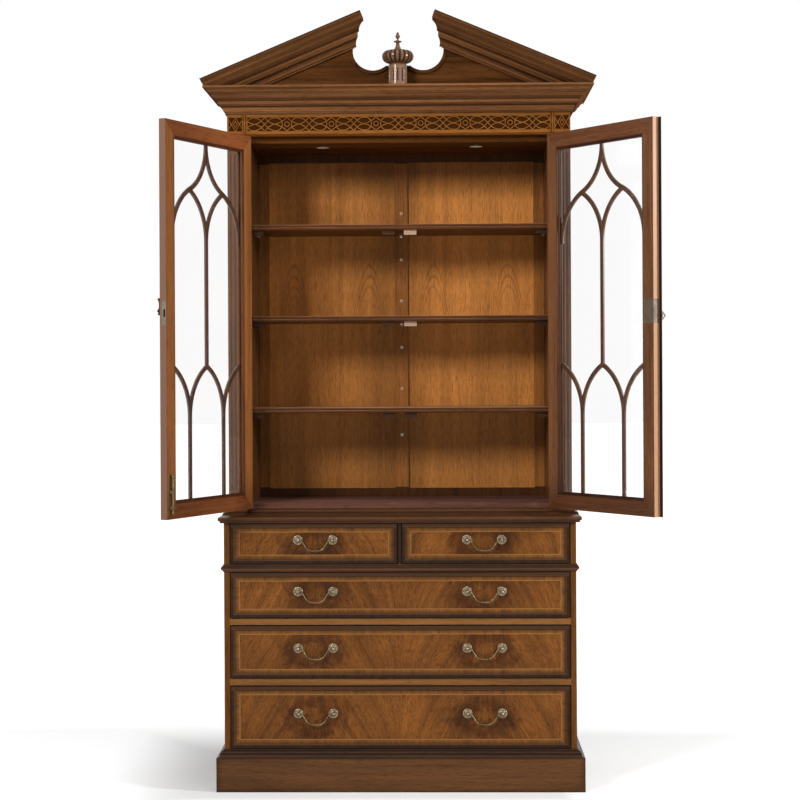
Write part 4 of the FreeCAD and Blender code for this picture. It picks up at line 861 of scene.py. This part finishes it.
def remove(piece):
    only(piece)
    bpy.ops.object.delete()


def copies(model, places, name):
    """One piece made of a copy of the model at each place; a place is a matrix."""
    made = []
    for place in places:
        only(model)
        bpy.ops.object.duplicate(linked=False)
        made.append(bpy.context.object)
        made[-1].matrix_world = place
        bpy.ops.object.transform_apply(location=True, rotation=True, scale=True)
    for piece in made:
        piece.select_set(True)
    bpy.ops.object.join()
    joined = bpy.context.object
    joined.name = joined.data.name = name
    return joined


def fit(piece, material, body):
    piece.data.materials.clear()
    piece.data.materials.append(material)
    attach(piece, body)


print("piece helpers ready")

# %% Ring of beads
BEADS = 24
BEAD_RING = 0.0114
BEAD_RADIUS = 0.00135
BEAD_BACK = 0.0003
BEAD_STEPS = BEADS - 1

bpy.ops.object.select_all(action="DESELECT")
bpy.ops.mesh.primitive_uv_sphere_add(segments=8, ring_count=6, radius=BEAD_RADIUS,
                                     location=(BEAD_RING, 0.0, 0.0))
bead_ring = bpy.context.object
bpy.ops.object.transform_apply(location=True, rotation=True, scale=True)
bpy.ops.object.mode_set(mode="EDIT")
bpy.ops.mesh.select_all(action="SELECT")
bpy.ops.mesh.bisect(plane_co=(0.0, BEAD_BACK, 0.0), plane_no=(0.0, 1.0, 0.0), use_fill=True,
                    clear_outer=True)
bpy.ops.mesh.select_all(action="SELECT")
bpy.ops.mesh.spin(steps=BEAD_STEPS, dupli=True, angle=2 * math.pi * BEAD_STEPS / BEADS,
                  center=(0.0, 0.0, 0.0), axis=(0.0, 1.0, 0.0))
bpy.ops.mesh.select_all(action="SELECT")
bpy.ops.mesh.normals_make_consistent(inside=False)
bpy.ops.object.mode_set(mode="OBJECT")
bpy.ops.object.shade_smooth_by_angle(angle=math.radians(50))
print("bead ring:", len(bead_ring.data.polygons), "faces")

# %% Beads on every rosette
GROOVE_OUT = 0.0018
ROSETTE_RADIUS = 0.015

for drawer in DRAWERS:
    low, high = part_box(drawer + "_pulls")
    outer = [low[0] + ROSETTE_RADIUS, high[0] - ROSETTE_RADIUS]
    inner = [math.copysign(2 * PULL_OFFSET, x) - x for x in outer] if drawer.endswith("drawer") else []
    groove, height = high[1] - GROOVE_OUT, (low[2] + high[2]) / 2
    places = [Matrix.Translation((x, groove, height)) for x in outer + inner]
    fit(copies(bead_ring, places, drawer + "_beads"), pull_brass, drawer)
    print(drawer, "bead rings:", len(places))
remove(bead_ring)

# %% [markdown]
# ## Screws of the lock and the strike
# Slotted screws hold the lock in the right door and the strike plate in the left one. The head starts as a
# cylinder; its rim is bevelled in edit mode, and a thin block is cut out of it for the slot. A slot drawn in
# the material would vanish in the exported mesh. The places are given for closed doors, and each is turned
# about the hinge to where its door stands open.

# %% One screw
SCREW_RADIUS = 0.0022
SCREW_DEPTH = 0.0012
SCREW_PROUD = 0.0003
SLOT_WIDTH = 0.0006

bpy.ops.object.select_all(action="DESELECT")
bpy.ops.mesh.primitive_cylinder_add(vertices=16, radius=SCREW_RADIUS, depth=SCREW_DEPTH,
                                    location=(0.0, 0.0, SCREW_PROUD - SCREW_DEPTH / 2))
screw = bpy.context.object
bpy.ops.object.transform_apply(location=True, rotation=True, scale=True)
bpy.ops.object.mode_set(mode="EDIT")
bpy.ops.mesh.select_all(action="DESELECT")
bpy.ops.object.mode_set(mode="OBJECT")
for face in screw.data.polygons:
    face.select = face.normal.z > 0.9
bpy.ops.object.mode_set(mode="EDIT")
bpy.ops.mesh.bevel(offset=SCREW_PROUD * 0.8, segments=2, affect="EDGES")
bpy.ops.object.mode_set(mode="OBJECT")
bpy.ops.object.select_all(action="DESELECT")
bpy.ops.mesh.primitive_cube_add(size=1.0, location=(0.0, 0.0, SCREW_PROUD),
                                scale=(3 * SCREW_RADIUS, SLOT_WIDTH, SCREW_DEPTH))
slot_block = bpy.context.object
only(screw)
slot_cut = screw.modifiers.new("slot", "BOOLEAN")
slot_cut.operation = "DIFFERENCE"
slot_cut.object = slot_block
bpy.ops.object.modifier_apply(modifier="slot")
remove(slot_block)
print("screw:", len(screw.data.polygons), "faces")

# %% Screws in both doors
LOCK_SCREWS = [(x, -0.086, z) for z in (1.4535, 1.5135) for x in (0.0058, 0.0397)]
STRIKE_SCREWS = [(-0.00025, -0.093, z) for z in (1.4545, 1.5125)]
SLOT_SLANT = Matrix.Rotation(math.radians(35), 4, "Z")
TO_REAR = Matrix.Rotation(math.radians(-90), 4, "X") @ SLOT_SLANT
TO_RIGHT = Matrix.Rotation(math.radians(90), 4, "Y") @ SLOT_SLANT


def opened(hinge, angle):
    """Turn about a hinge line."""
    line = Vector((hinge.x, hinge.y, 0.0))
    return Matrix.Translation(line) @ Matrix.Rotation(angle, 4, "Z") @ Matrix.Translation(-line)


right_open = opened(right_hinge, RIGHT_ANGLE)
left_open = opened(left_hinge, LEFT_ANGLE)
lock_places = [right_open @ Matrix.Translation(place) @ TO_REAR for place in LOCK_SCREWS]
strike_places = [left_open @ Matrix.Translation(place) @ TO_RIGHT for place in STRIKE_SCREWS]
fit(copies(screw, lock_places, "lock_screws"), pull_brass, "right_door")
fit(copies(screw, strike_places, "strike_screws"), pull_brass, "left_door")
remove(screw)
print("screws:", len(lock_places) + len(strike_places))

# %% [markdown]
# ## Finial
# The finial is turned and carved wood under a thick coppery polish. The hollows of the gadroons and flutes
# get painted shade, so the tone follows the angle round the finial: twenty hollows round the bowl, ten
# round the drum. The highlights take the warm colour of the polish.

# %% Finial finish
GADROONS = 20
FLUTES = 10
DRUM_HEIGHT = 0.062
BOWL = (0.008, 0.048)
FLUTE_STOP = 0.012
DRUM_COLOUR = (0.210, 0.120, 0.076)
GROOVE_SHADE_COLOUR = (0.018, 0.007, 0.004)
WARM_TINT = (1.0, 0.74, 0.56, 1.0)


def round_wave(tree, turn, count):
    """Wave that goes round the finial a number of times."""
    return calc(tree, "COSINE", calc(tree, "MULTIPLY", turn, count))


def finial_finish():
    material, tree, shader = finish("finial_polish", specular=0.26, coat=0.08)
    shader.inputs["Specular Tint"].default_value = WARM_TINT
    low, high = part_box("finial")
    place, x, y, z = place_axes(tree)
    turn = calc(tree, "ARCTAN2", x, calc(tree, "SUBTRACT", (low[1] + high[1]) / 2, y))
    drum_top = low[2] + DRUM_HEIGHT
    between_ribs = calc(tree, "SUBTRACT", 1.0, fade(tree, round_wave(tree, turn, GADROONS), -0.6, 0.6))
    in_flute = fade(tree, round_wave(tree, turn, FLUTES), 0.2, 0.8)
    on_bowl = between(tree, z, drum_top + BOWL[0], drum_top + BOWL[1])
    on_flutes = between(tree, z, low[2] + FLUTE_STOP, drum_top - FLUTE_STOP)
    # Painted shade in the hollows of the gadroons and flutes.
    groove_shade = calc(tree, "MAXIMUM", calc(tree, "MULTIPLY", on_bowl, between_ribs),
                  calc(tree, "MULTIPLY", on_flutes, in_flute))
    urn_tones = tones((0.160, 0.076, 0.035), 0.6)
    colour, streak, pore = wood_colour(tree, board_run(tree, ALONG_Z), urn_tones, 6.0)
    colour = blend(tree, calc(tree, "LESS_THAN", z, drum_top), colour, DRUM_COLOUR)
    feed(tree, shader.inputs["Base Color"], blend(tree, groove_shade, colour, GROOVE_SHADE_COLOUR))
    feed(tree, shader.inputs["Roughness"], calc(tree, "MULTIPLY_ADD", groove_shade, 0.35, 0.20))
    return material


dress(finial_finish(), "finial")
print("finial finished")

# %% [markdown]
# ## Lamps and glass
# Two small lamps sit in the top of the bookcase; they are switched off, but their frosted lenses get a
# faint painted glow and look pale. The panes are thin and clear. A pane that only refracts would throw a
# dark shadow, so most of its surface lets light straight through and a small part keeps the reflections.

# %% Lens and glass finishes
def lens_finish():
    material, tree, shader = finish("lamp_lens", 0.45)
    place, x, y, z = place_axes(tree)
    frost = ramp(tree, cloud(tree, place, 400.0), [(0.3, (0.44, 0.40, 0.33)), (0.7, (0.56, 0.52, 0.44))])
    feed(tree, shader.inputs["Base Color"], frost)
    # A faint painted glow on the lenses of the switched-off lamps.
    shader.inputs["Emission Color"].default_value = (1.0, 0.90, 0.76, 1.0)
    shader.inputs["Emission Strength"].default_value = 0.06
    return material


def glass_finish():
    material, tree, shader = finish("door_glass", 0.0)
    place, x, y, z = place_axes(tree)
    waver = ramp(tree, cloud(tree, place, 5.0, 1.0), [(0.3, (0.985, 0.990, 0.988)), (0.7, 1.0)])
    feed(tree, shader.inputs["Base Color"], waver)
    shader.inputs["Transmission Weight"].default_value = 1.0
    shader.inputs["IOR"].default_value = 1.45
    shader.inputs["Alpha"].default_value = 0.05
    return material


dress(lens_finish(), "light_lenses")
dress(glass_finish(), "left_door_glass", "right_door_glass")
print("lenses and glass dressed")

# %% [markdown]
# ## Floor and background
# The cabinet stands on a pale floor that goes white into the distance. Rays from the camera, and rays that
# a polished surface or the glass sends on, see white; near the cabinet the floor glows less, so its soft
# shadow shows. A brighter sky would give white too, but it would also wash out the wood, so only what is
# seen of the background is white, and the light on the cabinet stays plain.

# %% Floor
FLOOR_SIZE = 80.0
FLOOR_GREY = (0.74, 0.74, 0.74, 1.0)
WHITE = (1.0, 1.0, 1.0, 1.0)
LEAST_GLOW = 0.11
LEFT_GLOW = (0.60, 1.02, 0.46)
RIGHT_GLOW = (0.45, 0.60, 0.46)
BACK_GLOW = (0.10, 1.0, 0.70)
FRONT_GLOW = (0.25, 0.42, 0.41)
FAR_GLOW = (0.85, 2.3, 1.0)


def seen_share(tree):
    """1 for rays that show the background: from the camera, a reflection or the glass."""
    path = node(tree, "LightPath").outputs
    return calc(tree, "MAXIMUM", path["Is Camera Ray"],
                calc(tree, "MAXIMUM", path["Is Glossy Ray"], path["Is Transmission Ray"]))


def glow_past(tree, distance, start, end, most):
    """Glow that rises to its most between two distances."""
    return calc(tree, "MULTIPLY", fade(tree, distance, start, end), most)


bpy.ops.mesh.primitive_plane_add(size=FLOOR_SIZE, location=(0.0, 0.0, 0.0))
floor = bpy.context.object
floor.name = "studio_floor"
floor_material, tree, shader = finish("studio_floor", 0.9, 0.0)
place, x, y, z = place_axes(tree)
leftward, forward = (calc(tree, "MULTIPLY", part, -1.0) for part in (x, y))
away = node(tree, "VectorMath", {0: place}, operation="LENGTH").outputs["Value"]
# The glow is lowest close to the cabinet's left side, so the shadow shows there, and rises sooner to the
# right, in front and behind, where it washes the shadow out.
glow = calc(tree, "ADD", glow_past(tree, leftward, *LEFT_GLOW), LEAST_GLOW)
for distance, measures in ((x, RIGHT_GLOW), (y, BACK_GLOW), (forward, FRONT_GLOW), (away, FAR_GLOW)):
    glow = calc(tree, "MAXIMUM", glow, glow_past(tree, distance, *measures))
shader.inputs["Base Color"].default_value = FLOOR_GREY
shader.inputs["Emission Color"].default_value = WHITE
feed(tree, shader.inputs["Emission Strength"], calc(tree, "MULTIPLY", seen_share(tree), glow))
floor.data.materials.append(floor_material)
print("floor laid")

# %% Sky
SKY_LIGHT = 0.22

world = bpy.data.worlds.new("studio_sky")
bpy.context.scene.world = world
world.use_nodes = True
sky = world.node_tree
backdrop = sky.nodes["Background"]
backdrop.inputs["Color"].default_value = WHITE
seen = calc(sky, "MULTIPLY_ADD", seen_share(sky), 1.0 - SKY_LIGHT, SKY_LIGHT)
feed(sky, backdrop.inputs["Strength"], seen)
bpy.context.scene.view_settings.view_transform = "Standard"
print("sky light", SKY_LIGHT)

# %% [markdown]
# ## Studio lamps
# A soft lamp stands in front on the left, a smaller one on the right picks out the open door and the inside,
# and a weak one above lifts the tops of the mouldings. Their level is plain: a colour looks about as it is
# written. An area lamp has soft shadows, as a studio's cloth-covered lamps have.

# %% Lamps
def softbox(name, place, target, size, power):
    bpy.ops.object.light_add(type="AREA", location=place)
    lamp = bpy.context.object
    lamp.name = name
    lamp.data.shape = "RECTANGLE"
    lamp.data.size, lamp.data.size_y = size
    lamp.data.energy = power
    lamp.rotation_euler = (Vector(target) - Vector(place)).to_track_quat("-Z", "Y").to_euler()
    print(name, "lamp:", power, "W")


softbox("front_left", (-2.9, -4.3, 3.5), target=(0.0, 0.0, 1.3), size=(1.2, 1.2), power=215.0)
softbox("side_right", (4.2, -1.65, 2.3), target=(0.0, 0.0, 1.3), size=(0.6, 0.6), power=150.0)
softbox("top", (0.4, -1.6, 4.8), target=(0.0, -0.4, 0.8), size=(2.4, 2.0), power=40.0)

# %% [markdown]
# ## Camera
# The camera stands almost square to the front, a little right of the middle and 1.3 m up. A view camera
# keeps uprights straight by sliding its lens down in place of tilting, and the shift here does the same.

# %% Camera
PICTURE = 800.0
FOCAL_PIXELS = 1830.0
HORIZON_ROW = 371.9
SENSOR = 36.0
CAMERA_PLACE = (0.131, -5.928, 1.307)
CAMERA_TURN = math.radians(1.276)
CAMERA_ROLL = math.radians(-0.281)

camera_data = bpy.data.cameras.new("photo_camera")
camera = bpy.data.objects.new("photo_camera", camera_data)
bpy.context.collection.objects.link(camera)
camera_data.sensor_width = SENSOR
camera_data.lens = FOCAL_PIXELS / PICTURE * SENSOR
camera_data.shift_y = (HORIZON_ROW - PICTURE / 2) / PICTURE
camera_data.clip_end = 200.0
turn = Matrix.Rotation(CAMERA_TURN, 4, "Z")
level = Matrix.Rotation(math.radians(90.0), 4, "X")
roll = Matrix.Rotation(CAMERA_ROLL, 4, "Z")
camera.matrix_world = Matrix.Translation(CAMERA_PLACE) @ turn @ level @ roll
bpy.context.scene.camera = camera
print("camera at", [round(value, 3) for value in camera.location])
